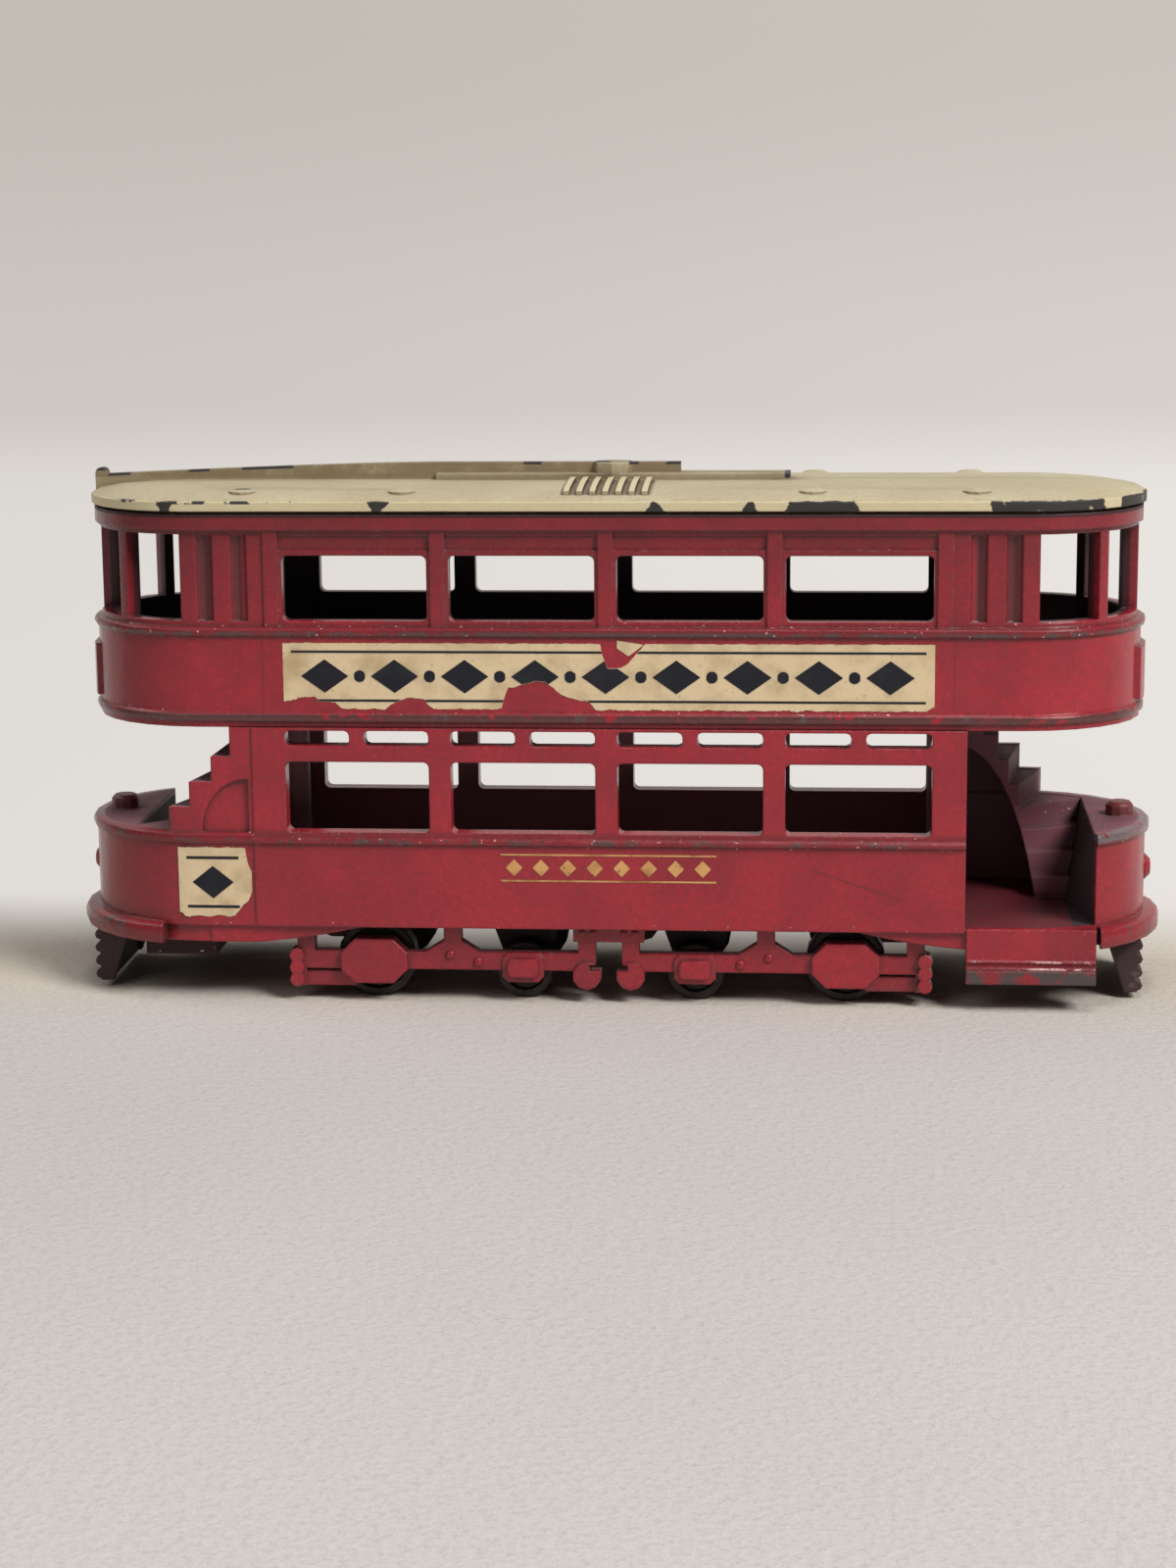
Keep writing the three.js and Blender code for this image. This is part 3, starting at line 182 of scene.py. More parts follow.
# A loose flake at the tear: its edges as heights from the sheet's head, along X
FLAKE_HIGH = [(0.82, 0.24), (2.7, -0.05)]
FLAKE_LOW = [(0.82, -0.32), (1.63, -0.88), (2.7, -0.07)]

# The large sheet's frieze
FRIEZE_PITCH = 5.0
FRIEZE_COUNT = 9
FRIEZE_HALF = 1.7
FRIEZE_HEIGHT = 1.2
FRIEZE_DISC = 0.42
FRIEZE_RULE = 0.16
FRIEZE_RULE_OFFSET = 1.75
FRIEZE_RULE_INSET = 0.6

# The small label's torn outline and its mark
LABEL_FOOT = 6.35
LABEL_HEAD = 11.5
LABEL_RISES = [
    (-31.0, 0.3), (-30.75, 0.25), (-30.6, 0.05), (-27.0, 0.1), (-26.55, 0.5), (-26.3, 0.9),
    (-25.9, 1.25), (-25.65, 1.9),
]
LABEL_DROPS = [
    (-31.0, 0.05), (-29.4, 0.0), (-26.05, 0.05), (-26.0, 0.75), (-25.85, 1.3), (-25.65, 1.75),
]
LABEL_START = LABEL_RISES[0][0]
LABEL_END = LABEL_RISES[-1][0]
MARK_X = (LABEL_START + LABEL_END) / 2 - 0.15
MARK_Z = (LABEL_FOOT + LABEL_HEAD) / 2
MARK_HALF = 1.5
MARK_HEIGHT = 1.2
MARK_RULE = 0.2
MARK_RULE_HALF = 1.9
MARK_RULE_OFFSET = 1.8

# The gold line on the lower side
GOLD_START = -7.6
GOLD_END = 7.8
GOLD_Z = 10.2
GOLD_COUNT = 8
GOLD_HALF = 0.6
GOLD_HEIGHT = 0.62
GOLD_RULE = 0.13
GOLD_RULE_OFFSET = 0.95

# Rivet heads on the truck frames: each place is a distance from the middle and a height
RIVET_PLACES = [(1.11, 5.21), (1.91, 5.21), (9.47, 2.94), (11.5, 3.46)]
RIVET_RADIUS = 0.36
RIVET_FLATTENED = 0.6

# Colours, as linear red, green and blue
CRIMSON = (0.47, 0.025, 0.042)
CRIMSON_DULL = (0.36, 0.022, 0.036)
# Dark maroon: dirt, grime and scratches, also painted shade on the left end and in the fluted corners, and
# the darkening towards the top
MAROON_DIRT_AND_SHADE = (0.055, 0.02, 0.02)
# A flat tone inside the saloon: painted shade that sets how bright the unlit inside looks
INSIDE_SHADE = (0.3, 0.13, 0.145)
# Painted shade inside the upper deck, in the window reveals and as a shadow line below the roof
DECK_INSIDE_SHADE = (0.03, 0.013, 0.016)
# Painted shade below the platforms
UNDERSIDE_SHADE = (0.012, 0.007, 0.008)
HOLLOW_SHADE = (0.17, 0.09, 0.11)
BLOCK_SHADE = (0.04, 0.027, 0.033)
# Dirt and painted shade on the platform floors, which lie under the stairs and upper deck
PLATFORM_DIRT_AND_SHADE = (0.085, 0.03, 0.036)
PLATFORM_DUST = (0.16, 0.095, 0.115)
CONTROLLER_DULL = (0.13, 0.045, 0.045)
# The lifeguards: dull dark casting, darkened further as painted shade
GUARD_DULL_AND_SHADE = (0.055, 0.031, 0.035)
WORN_METAL = (0.15, 0.098, 0.098)
BEAD_METAL = (0.14, 0.075, 0.075)
# Paler bare metal for the rail's right end: wear, and painted light where the light falls from the right
RAIL_METAL_AND_HIGHLIGHT = (0.21, 0.165, 0.17)
RIM_METAL = (0.15, 0.06, 0.06)
LIP_METAL = (0.1, 0.08, 0.077)
# Pale flecks of wear, and painted glints on sills, step ribs and sharp edges
PALE_FLECK_AND_GLINT = (0.72, 0.46, 0.44)
CREAM = (0.56, 0.5, 0.33)
CREAM_AGED = (0.5, 0.43, 0.275)
# Paler cream: a painted highlight on the roof's edge and the louvre slats
CREAM_HIGHLIGHT = (0.78, 0.67, 0.41)
ROOF_GRIME = (0.17, 0.115, 0.06)
# Painted shade between the louvre slats
LOUVRE_GAP_SHADE = (0.07, 0.048, 0.03)
CHIP_METAL = (0.048, 0.044, 0.043)
TRANSFER_CREAM = (0.8, 0.63, 0.39)
TRANSFER_STAIN = (0.56, 0.41, 0.23)
NAVY = (0.004, 0.0045, 0.011)
NAVY_WORN = (0.014, 0.014, 0.02)
GOLD = (0.8, 0.43, 0.16)
GOLD_WORN = (0.3, 0.12, 0.04)
TARNISH = (0.03, 0.02, 0.015)
DARK_CASTING = (0.022, 0.018, 0.018)
DARK_CASTING_RUBBED = (0.1, 0.09, 0.085)
WHEEL_METAL = (0.045, 0.04, 0.038)
WHEEL_RUBBED = (0.2, 0.19, 0.18)
STEEL = (0.28, 0.27, 0.26)
STEEL_RUBBED = (0.4, 0.39, 0.38)
BLACK = (0.0, 0.0, 0.0)
FLOOR = (0.64, 0.58, 0.5)
FLOOR_FRONT = (0.6, 0.575, 0.565)
FLOOR_BACK = (0.55, 0.525, 0.5)
FLOOR_FLECK = (0.3, 0.28, 0.27)
BACKDROP = (0.36, 0.345, 0.33)
# The glow seen behind and far off: painted light, graded by height, with painted shade towards the left
BEHIND_LOW = (0.82, 0.785, 0.745)
BEHIND_MIDDLE = (0.68, 0.64, 0.6)
BEHIND_HIGH = (0.59, 0.55, 0.51)
BEHIND_LEFT_SHADE = (0.35, 0.32, 0.29)
LAMP_COLOUR = (1.0, 0.98, 0.96)
WORLD_COLOUR = (1.0, 0.97, 0.94)

# Shading: the sheen, rays per lookup, the steepest smooth edge, and how close corners join, in millimetres
SHEEN = 0.48
LOOKUP_RAYS = 6
SMOOTH_DEGREES = 35
JOIN_WITHIN = 0.0005

# Studio, in metres: the sweep of floor and backdrop, and the lamps as place, width and power
STAGE_HALF = 1.6
STAGE_FRONT = -1.6
STAGE_BACK = 0.32
STAGE_BEND = 0.15
STAGE_BEND_STEPS = 8
STAGE_RISE = 0.9
LAMP_AIM = (0.0, 0.0, 0.02)
LAMPS = {
    "key": ((0.36, -0.3, 0.46), 0.26, 3.5),
    "fill": ((-0.3, -0.45, 0.45), 0.4, 0.45),
    "top": ((0.05, -0.14, 0.6), 0.2, 0.8),
    "left": ((-0.42, 0.08, 0.45), 0.3, 0.6),
}
WORLD_STRENGTH = 0.07

# Where the floor changes, in millimetres: first and last place of each change
FRONT_TONE = (-2.0, -18.0)
BACK_TONE = (10.0, 80.0)
WALL_TONE = (0.0, 120.0)
GLOW_BEHIND = (5.0, 28.0)
GLOW_AROUND = (150.0, 400.0)
GLOW_LOW = (0.0, 16.0)
GLOW_HIGH = (10.0, 90.0)
GLOW_LEFT = (120.0, -160.0)
GLOW_FAR = (600.0, 1400.0)

# Camera: angles in degrees, place, sensor and lens in millimetres, and the nearest seen distance in metres
CAMERA_YAW = -4.814
CAMERA_PITCH = 10.959
CAMERA_ROLL = -0.525
CAMERA_PLACE = (17.03, -226.64, 58.6)
CAMERA_SENSOR = 36.0
CAMERA_LENS = 72.0
CAMERA_CLIP = 0.01


class Shader:
    """One material's node tree, called s below. Most methods return the output of the node they add."""

    def __init__(self, name):
        self.material = bpy.data.materials.new(name)
        self.material.use_nodes = True
        self.tree = self.material.node_tree
        self.surface = self.tree.nodes["Principled BSDF"]
        self.surface.inputs["Specular IOR Level"].default_value = SHEEN
        coordinates = self.tree.nodes.new("ShaderNodeTexCoord")
        self.place = self.vector("SCALE", coordinates.outputs["Object"], scale=1 / MM)
        parts = self.node("ShaderNodeSeparateXYZ", self.place)
        self.x, self.y, self.z = parts.outputs
        self.along = self.math("ABSOLUTE", self.x)
        self.across = self.math("ABSOLUTE", self.y)

    def node(self, kind, *values, **settings):
        """Adds a node and returns it, with the values on its first inputs."""
        made = self.tree.nodes.new(kind)
        for key, value in settings.items():
            setattr(made, key, value)
        for socket, value in zip(made.inputs, values):
            self.feed(socket, value)
        return made

    def feed(self, socket, value):
        """Links another node's output to the socket, or sets a constant on it."""
        if isinstance(value, bpy.types.NodeSocket):
            self.tree.links.new(value, socket)
        elif value is not None:
            is_colour = isinstance(value, tuple) and socket.type == "RGBA"
            socket.default_value = (*value, 1.0) if is_colour else value

    def vector(self, operation, a, b=None, scale=None):
        made = self.node("ShaderNodeVectorMath", a, b, operation=operation)
        if scale is not None:
            made.inputs["Scale"].default_value = scale
        return made.outputs["Value" if operation in ("DOT_PRODUCT", "LENGTH") else "Vector"]

    def math(self, operation, a, b=None, c=None):
        return self.node("ShaderNodeMath", a, b, c, operation=operation).outputs[0]

    def ramp(self, value, low, high):
        """Zero at low and one at high, with smooth ends."""
        made = self.node("ShaderNodeMapRange", value, interpolation_type="SMOOTHSTEP")
        made.inputs["From Min"].default_value = low
        made.inputs["From Max"].default_value = high
        return made.outputs[0]

    def band(self, value, low, high, soft=0.1):
        """One between low and high, and zero beyond both."""
        rising = self.ramp(value, low - soft, low + soft)
        falling = self.ramp(value, high + soft, high - soft)
        return self.math("MULTIPLY", rising, falling)

    def both(self, *masks):
        result = masks[0]
        for mask in masks[1:]:
            result = self.math("MULTIPLY", result, mask)
        return result

    def either(self, *masks):
        result = masks[0]
        for mask in masks[1:]:
            result = self.math("MAXIMUM", result, mask)
        return result

    def share(self, mask, amount):
        return self.math("MULTIPLY", mask, amount)

    def opposite(self, mask):
        return self.math("SUBTRACT", 1.0, mask)

    def noise(self, per_mm, detail=3.0, rough=0.55, stretch=None):
        place = self.place if stretch is None else self.vector("MULTIPLY", self.place, stretch)
        made = self.node("ShaderNodeTexNoise", place)
        made.inputs["Scale"].default_value = per_mm
        made.inputs["Detail"].default_value = detail
        made.inputs["Roughness"].default_value = rough
        return made.outputs["Fac"]

    def mix(self, factor, a, b):
        made = self.tree.nodes.new("ShaderNodeMix")
        made.data_type = "RGBA"
        self.feed(made.inputs["Factor"], factor)
        self.feed(made.inputs["A"], a)
        self.feed(made.inputs["B"], b)
        return made.outputs["Result"]

    def rounded(self, radius_mm):
        """The surface's direction, rounded over the edges."""
        bevel = self.tree.nodes.new("ShaderNodeBevel")
        bevel.samples = LOOKUP_RAYS
        bevel.inputs["Radius"].default_value = radius_mm * MM
        return bevel.outputs[0]

    def edges(self, radius_mm, low, high):
        """One where the surface turns within the radius, such as along an arris, and zero on flat faces."""
        geometry = self.tree.nodes.new("ShaderNodeNewGeometry")
        facing = self.vector("DOT_PRODUCT", self.rounded(radius_mm), geometry.outputs["Normal"])
        return self.ramp(facing, 1 - low, 1 - high)

    def crevices(self, reach_mm, low, high):
        """One where little of the surroundings is open, such as in a corner."""
        occlusion = self.tree.nodes.new("ShaderNodeAmbientOcclusion")
        occlusion.samples = LOOKUP_RAYS
        occlusion.inputs["Distance"].default_value = reach_mm * MM
        return self.ramp(occlusion.outputs["AO"], high, low)

    def stadium_distance(self, centre):
        """Distance from the line between the two arc centres, in plan."""
        beyond = self.math("MAXIMUM", self.math("SUBTRACT", self.along, centre), 0.0)
        joined = self.node("ShaderNodeCombineXYZ", beyond, self.y).outputs[0]
        return self.vector("LENGTH", joined)

    def plan_distance(self, x, y):
        """Distance from an upright line through the place."""
        plan = self.node("ShaderNodeCombineXYZ", self.x, self.y).outputs[0]
        return self.vector("LENGTH", self.vector("SUBTRACT", plan, (x, y, 0.0)))

    def finish(self, colour, rough, metallic=0.0, bump=None, depth_mm=0.01, round_mm=0.0):
        """Feeds the surface and returns the material."""
        self.feed(self.surface.inputs["Base Color"], colour)
        self.feed(self.surface.inputs["Roughness"], rough)
        self.feed(self.surface.inputs["Metallic"], metallic)
        facing = self.rounded(round_mm) if round_mm else None
        if bump is not None:
            relief = self.tree.nodes.new("ShaderNodeBump")
            relief.inputs["Distance"].default_value = depth_mm * MM
            self.feed(relief.inputs["Height"], bump)
            self.feed(relief.inputs["Normal"], facing)
            facing = relief.outputs[0]
        self.feed(self.surface.inputs["Normal"], facing)
        return self.material


def worn_red(name, stains, rubs, flecks_and_glints):
    """Old crimson enamel. Stains give masks, colours and how matt they are, rubs give masks, colours and the
    bare share, and flecks_and_glints gives one mask, for pale flecks of wear and painted glints."""
    s = Shader(name)
    cloud = s.noise(0.16, 4)
    grain = s.noise(2.2, 3)
    patches = s.noise(0.55, 4, 0.65)
    scuffs = s.noise(0.6, 5, 0.75)
    paint = s.mix(s.ramp(cloud, 0.35, 0.68), CRIMSON_DULL, CRIMSON)
    paint = s.mix(s.ramp(grain, 0.25, 0.8), s.mix(0.3, paint, MAROON_DIRT_AND_SHADE), paint)
    dirt = s.both(s.crevices(1.3, 0.3, 0.92), s.ramp(patches, 0.1, 0.5))
    paint = s.mix(s.share(dirt, 0.75), paint, MAROON_DIRT_AND_SHADE)
    # Painted shade: the left end is darker, as if the light falls from the right
    shade_left = s.both(s.ramp(s.x, *SHADE_LEFT), s.ramp(cloud, 0.2, 0.6))
    paint = s.mix(s.share(shade_left, 0.35), paint, MAROON_DIRT_AND_SHADE)
    # Darker towards the top
    paint = s.mix(s.share(s.ramp(s.z, *DARKER_HIGH), 0.42), paint, MAROON_DIRT_AND_SHADE)
    rough = s.math("MULTIPLY_ADD", grain, 0.22, 0.15)
    for mask, tone, matt in stains(s):
        paint = s.mix(mask, paint, tone)
        rough = s.math("MAXIMUM", rough, s.share(mask, matt))
    bare = s.share(s.both(s.edges(0.2, 0.03, 0.2), s.ramp(patches, 0.46, 0.62)), 0.8)
    colour = s.mix(bare, paint, WORN_METAL)
    for mask, tone, cover in rubs(s):
        start = 0.64 - 0.3 * cover
        rubbed = s.both(mask, s.ramp(scuffs, start, start + 0.08))
        colour = s.mix(rubbed, colour, tone)
        bare = s.either(bare, rubbed)
    # Pale flecks of wear and painted glints
    fleck_and_glint = s.both(flecks_and_glints(s), s.ramp(s.noise(3.4, 2, 0.4), 0.695, 0.74))
    colour = s.mix(fleck_and_glint, colour, PALE_FLECK_AND_GLINT)
    relief = s.math("MULTIPLY_ADD", s.noise(0.9, 2), 0.6, s.share(grain, 0.4))
    return s.finish(colour, rough, s.share(bare, 0.35), relief, 0.03, 0.24)


def in_saloon(s):
    across = s.ramp(s.across, SALOON_INNER + 0.3, SALOON_INNER)
    along = s.ramp(s.along, SALOON_INNER_HALF + 0.4, SALOON_INNER_HALF)
    return s.both(across, along)


def past_saloon(s):
    """The two ends with their platforms, bumpers and steps."""
    return s.ramp(s.along, SALOON_HALF, SALOON_HALF + 0.3)


def closed_side(s, low, high):
    """The sides of the platforms without an entrance, where X and Y have one sign."""
    return s.ramp(s.math("MULTIPLY", s.x, s.y), low, high)


def bumper_face(s):
    """The bumpers, which stand out below the dashes."""
    proud = s.ramp(s.stadium_distance(DASH_CENTRE), DASH_RADIUS + 0.1, DASH_RADIUS + 0.25)
    return s.both(s.ramp(s.z, BUMPER_TOP + 0.2, BUMPER_TOP), past_saloon(s), proud)


def lower_stains(s):
    """Painted shade on the unlit walls inside, dirt and painted shade on the platform floors, dust on the
    stairs, a dull controller, painted shade in the stair hollow and on the dark face of the dash block,
    painted shade below the platforms, dull lifeguards in painted shade, a scratch and grime.
    """
    within = s.ramp(s.stadium_distance(DASH_CENTRE), DASH_INNER + 0.2, DASH_INNER)
    on_end = s.ramp(s.along, SALOON_HALF - 0.1, SALOON_HALF - 0.02)
    above_rail = s.ramp(s.z, RAIL_HIGH + 0.05, RAIL_HIGH + 0.1)
    controller = s.both(above_rail, s.ramp(s.along, CONTROLLER_START, CONTROLLER_START + 0.1))
    above_floor = s.ramp(s.z, PLATFORM_Z - 0.15, PLATFORM_Z - 0.05)
    well = s.both(within, on_end, above_floor, s.opposite(controller))
    raised = s.ramp(s.z, PLATFORM_Z + 0.1, PLATFORM_Z + 0.6)
    patchy = s.math("MULTIPLY_ADD", s.noise(0.5, 4, 0.6), 0.5, 0.5)
    in_wall = s.ramp(s.across, HOLLOW_WALL, HOLLOW_WALL + 0.2)
    hollow = s.both(well, closed_side(s, 0.0, 1.0), in_wall, s.ramp(s.along, HOLLOW_END + 0.1, HOLLOW_END))
    leaning = s.math("MULTIPLY_ADD", s.math("SUBTRACT", s.z, PLATFORM_Z), -BLOCK_LEAN, s.along)
    below_rail = s.ramp(s.z, RAIL_HIGH - 0.1, RAIL_HIGH - 0.3)
    block = s.both(well, s.ramp(leaning, BLOCK_FOOT - 0.2, BLOCK_FOOT - 0.08), below_rail)
    below_floor = s.ramp(s.z, PLATFORM_UNDER + 0.05, PLATFORM_UNDER - 0.05)
    below = s.both(on_end, s.ramp(s.across, UNDERSIDE_HALF + 0.2, UNDERSIDE_HALF), below_floor)
    guard_run = s.ramp(s.along, GUARD_START, GUARD_START + 0.2)
    guard = s.both(guard_run, s.ramp(s.across, GUARD_HALF + 0.2, GUARD_HALF))
    return [
        # Painted shade on the unlit walls inside the saloon
        (in_saloon(s), INSIDE_SHADE, 0.6),
        # Dirt and painted shade on the platform floors
        (s.both(well, patchy, s.opposite(raised)), PLATFORM_DIRT_AND_SHADE, 0.6),
        (s.both(well, patchy, raised), PLATFORM_DUST, 0.9),
        (s.share(controller, 0.7), CONTROLLER_DULL, 0.6),
        (hollow, HOLLOW_SHADE, 0.9),
        (block, BLOCK_SHADE, 0.9),
        # Painted shade below the platforms
        (s.share(below, 0.95), UNDERSIDE_SHADE, 0.8),
        # Dull lifeguards in painted shade
        (s.both(below, guard), GUARD_DULL_AND_SHADE, 0.6),
        (s.share(side_scuff(s), 0.4), MAROON_DIRT_AND_SHADE, 0.5),
        (lower_grime(s), MAROON_DIRT_AND_SHADE, 0.4),
    ]


def lower_grime(s):
    """A thin film of dirt on the sills, the rails round the platforms, the bumpers and the truck frames."""
    on_side = s.ramp(s.across, SALOON_SIDE - 0.2, SALOON_SIDE - 0.05)
    sill = s.both(s.band(s.z, LOWER_SILL - 1.0, LOWER_SILL + 0.1), on_side)
    on_dash = s.ramp(s.stadium_distance(DASH_CENTRE), DASH_INNER, DASH_INNER + 0.2)
    rail = s.both(s.band(s.z, RAIL_LOW, RAIL_HIGH + 0.1), past_saloon(s), on_dash)
    below_side = s.ramp(s.z, SIDE_FOOT - 0.1, SIDE_FOOT - 0.3)
    frames = s.both(below_side, s.ramp(s.across, FRAME_FACE + 0.5, FRAME_FACE + 0.3))
    return s.either(
        s.share(sill, 0.35),
        s.share(rail, 0.4),
        s.share(bumper_face(s), 0.25),
        s.share(frames, 0.15),
    )


def side_scuff(s):
    """One faint sloping scratch on the near side, right of the middle."""
    run = s.math("SUBTRACT", s.x, SCUFF_X)
    height = s.math("MULTIPLY_ADD", run, -SCUFF_SLOPE, s.math("SUBTRACT", s.z, SCUFF_Z))
    line = s.ramp(s.math("ABSOLUTE", height), 0.16, 0.03)
    length = s.band(s.x, SCUFF_X - SCUFF_HALF, SCUFF_X + SCUFF_HALF, 0.4)
    return s.both(line, length, s.ramp(s.y, 0.2 - SALOON_SIDE, 0.05 - SALOON_SIDE))


def lower_rubs(s):
    """Bare metal on the rails, bumpers, step lips, sill beads and the feet of the truck frames, a painted
    highlight along the step ribs, and a paler right end of the rail, partly wear and partly painted light.
    """
    beyond = past_saloon(s)
    on_rail = s.ramp(s.stadium_distance(DASH_CENTRE), DASH_INNER - 0.1, DASH_INNER + 0.2)
    rail = s.both(s.band(s.z, RAIL_HIGH - 0.6, RAIL_HIGH + 0.1), s.ramp(s.along, *RAIL_BARE), on_rail)
    # The right end of the rail is painted paler: wear and painted light
    right_rail = s.both(rail, s.ramp(s.x, -1.0, 1.0))
    rubbed_run = s.either(closed_side(s, -0.5, 0.5), s.ramp(s.along, BUMPER_NOSE, BUMPER_NOSE + 0.15))
    bumper = s.both(bumper_face(s), rubbed_run)
    on_step = s.ramp(s.across, SALOON_SIDE - 0.15, SALOON_SIDE - 0.05)
    lip = s.both(s.ramp(s.z, STEP_LIP_TOP + 0.05, STEP_LIP_TOP - 0.05), on_step, beyond)
    ribs = s.either(*[s.band(s.z, *rib, 0.05) for rib in STEP_RIBS])
    on_ribs = s.ramp(s.across, STEP_FACE, STEP_FACE + 0.06)
    step_ribs = s.both(ribs, on_ribs, s.band(s.along, *STEP_SPAN, 0.3))
    on_bead = s.ramp(s.across, SALOON_SIDE, SALOON_SIDE + 0.15)
    bead = s.both(s.band(s.z, LOWER_SILL - 0.95, LOWER_SILL - 0.4, 0.08), on_bead)
    on_frame = s.ramp(s.across, FRAME_FACE - 0.3, FRAME_FACE - 0.1)
    feet = s.both(s.ramp(s.z, *FEET_BARE), on_frame, s.opposite(beyond))
    return [
        (rail, WORN_METAL, 0.35),
        (right_rail, RAIL_METAL_AND_HIGHLIGHT, 0.75),
        (bumper, WORN_METAL, 0.3),
        (lip, LIP_METAL, 0.72),
        # Painted highlight along the step ribs
        (step_ribs, PALE_FLECK_AND_GLINT, 0.5),
        (bead, BEAD_METAL, 0.45),
        (feet, WORN_METAL, 0.45),
    ]


def lower_flecks_and_glints(s):
    """Pale flecks of wear and painted glints on the sills, the foot of the sides, the steps and the sharp
    edges.
    """
    sill = s.both(s.band(s.z, LOWER_SILL - 1.0, LOWER_SILL + 0.1), s.ramp(s.x, *SILL_FLECKS_AND_GLINTS))
    on_side = s.ramp(s.across, SALOON_SIDE - 0.25, SALOON_SIDE - 0.1)
    foot = s.both(s.band(s.z, SIDE_FOOT - 0.25, SIDE_FOOT + 0.25), on_side)
    step = s.both(s.band(s.z, STEP_LIP_TOP - 0.15, STEP_LIP_TOP + 0.85), past_saloon(s))
    places = s.either(sill, s.share(foot, 0.9), step, s.edges(0.16, 0.1, 0.3))
    return s.both(places, s.opposite(in_saloon(s)))


def in_deck(s):
    return s.ramp(s.stadium_distance(DECK_CENTRE), DECK_INNER + 0.25, DECK_INNER + 0.05)


def upper_stains(s):
    """Dirt in the seams, painted shade in the fluted corners and in each window's reveal, a dull sill, a
    painted shadow line below the roof, and painted shade on the unlit inside.
    """
    panel = s.band(s.z, PANEL_LOW, PANEL_HIGH)
    seam = s.both(s.band(s.along, PANEL_SEAM - 0.06, PANEL_SEAM + 0.06, 0.04), panel)
    out = s.stadium_distance(DECK_CENTRE)
    between = s.band(s.z, UPPER_SILL, UPPER_WINDOW_TOP)
    reveal_shade = s.both(between, s.ramp(out, REVEAL_START, REVEAL_START - 0.3))
    in_plane = s.ramp(out, WINDOW_PLANE - 0.02, WINDOW_PLANE - 0.3)
    flute_shade = s.both(between, in_plane, s.band(s.along, *FLUTES))
    return [
        (s.share(seam, 0.4), MAROON_DIRT_AND_SHADE, 0.5),
        # Painted shade in the fluted corners
        (s.share(flute_shade, 0.7), MAROON_DIRT_AND_SHADE, 0.4),
        (s.share(s.band(s.z, PANEL_HIGH - 0.1, UPPER_SILL + 0.1), 0.4), MAROON_DIRT_AND_SHADE, 0.5),
        # Painted shadow just below the roof's edge
        (s.share(s.ramp(s.z, ROOF_Z - 0.3, ROOF_Z - 0.2), 0.9), DECK_INSIDE_SHADE, 0.6),
        # Painted shade on the window reveals
        (s.share(reveal_shade, 0.85), DECK_INSIDE_SHADE, 0.6),
        # Painted shade on the unlit inside
        (in_deck(s), DECK_INSIDE_SHADE, 0.6),
    ]


def upper_rubs(s):
    """Bare metal on the rim and the bead, where they stand out from the waist panel."""
    proud = s.ramp(s.stadium_distance(DECK_CENTRE), DECK_RADIUS, DECK_RADIUS + 0.15)
    rim = s.both(s.band(s.z, PANEL_LOW - 0.75, PANEL_LOW - 0.1), proud)
    bead = s.both(s.band(s.z, PANEL_HIGH + 0.05, PANEL_HIGH + 0.4), proud)
    return [(rim, RIM_METAL, 0.9), (rim, WORN_METAL, 0.25), (bead, BEAD_METAL, 0.7)]


def upper_flecks_and_glints(s):
    """Pale flecks of wear and painted glints on the sill, the rim and the sharp edges."""
    sill = s.band(s.z, PANEL_HIGH, UPPER_SILL + 0.5)
    rim = s.band(s.z, PANEL_LOW - 0.2, PANEL_LOW + 0.15)
    return s.both(s.either(sill, rim, s.edges(0.16, 0.1, 0.3)), s.opposite(in_deck(s)))


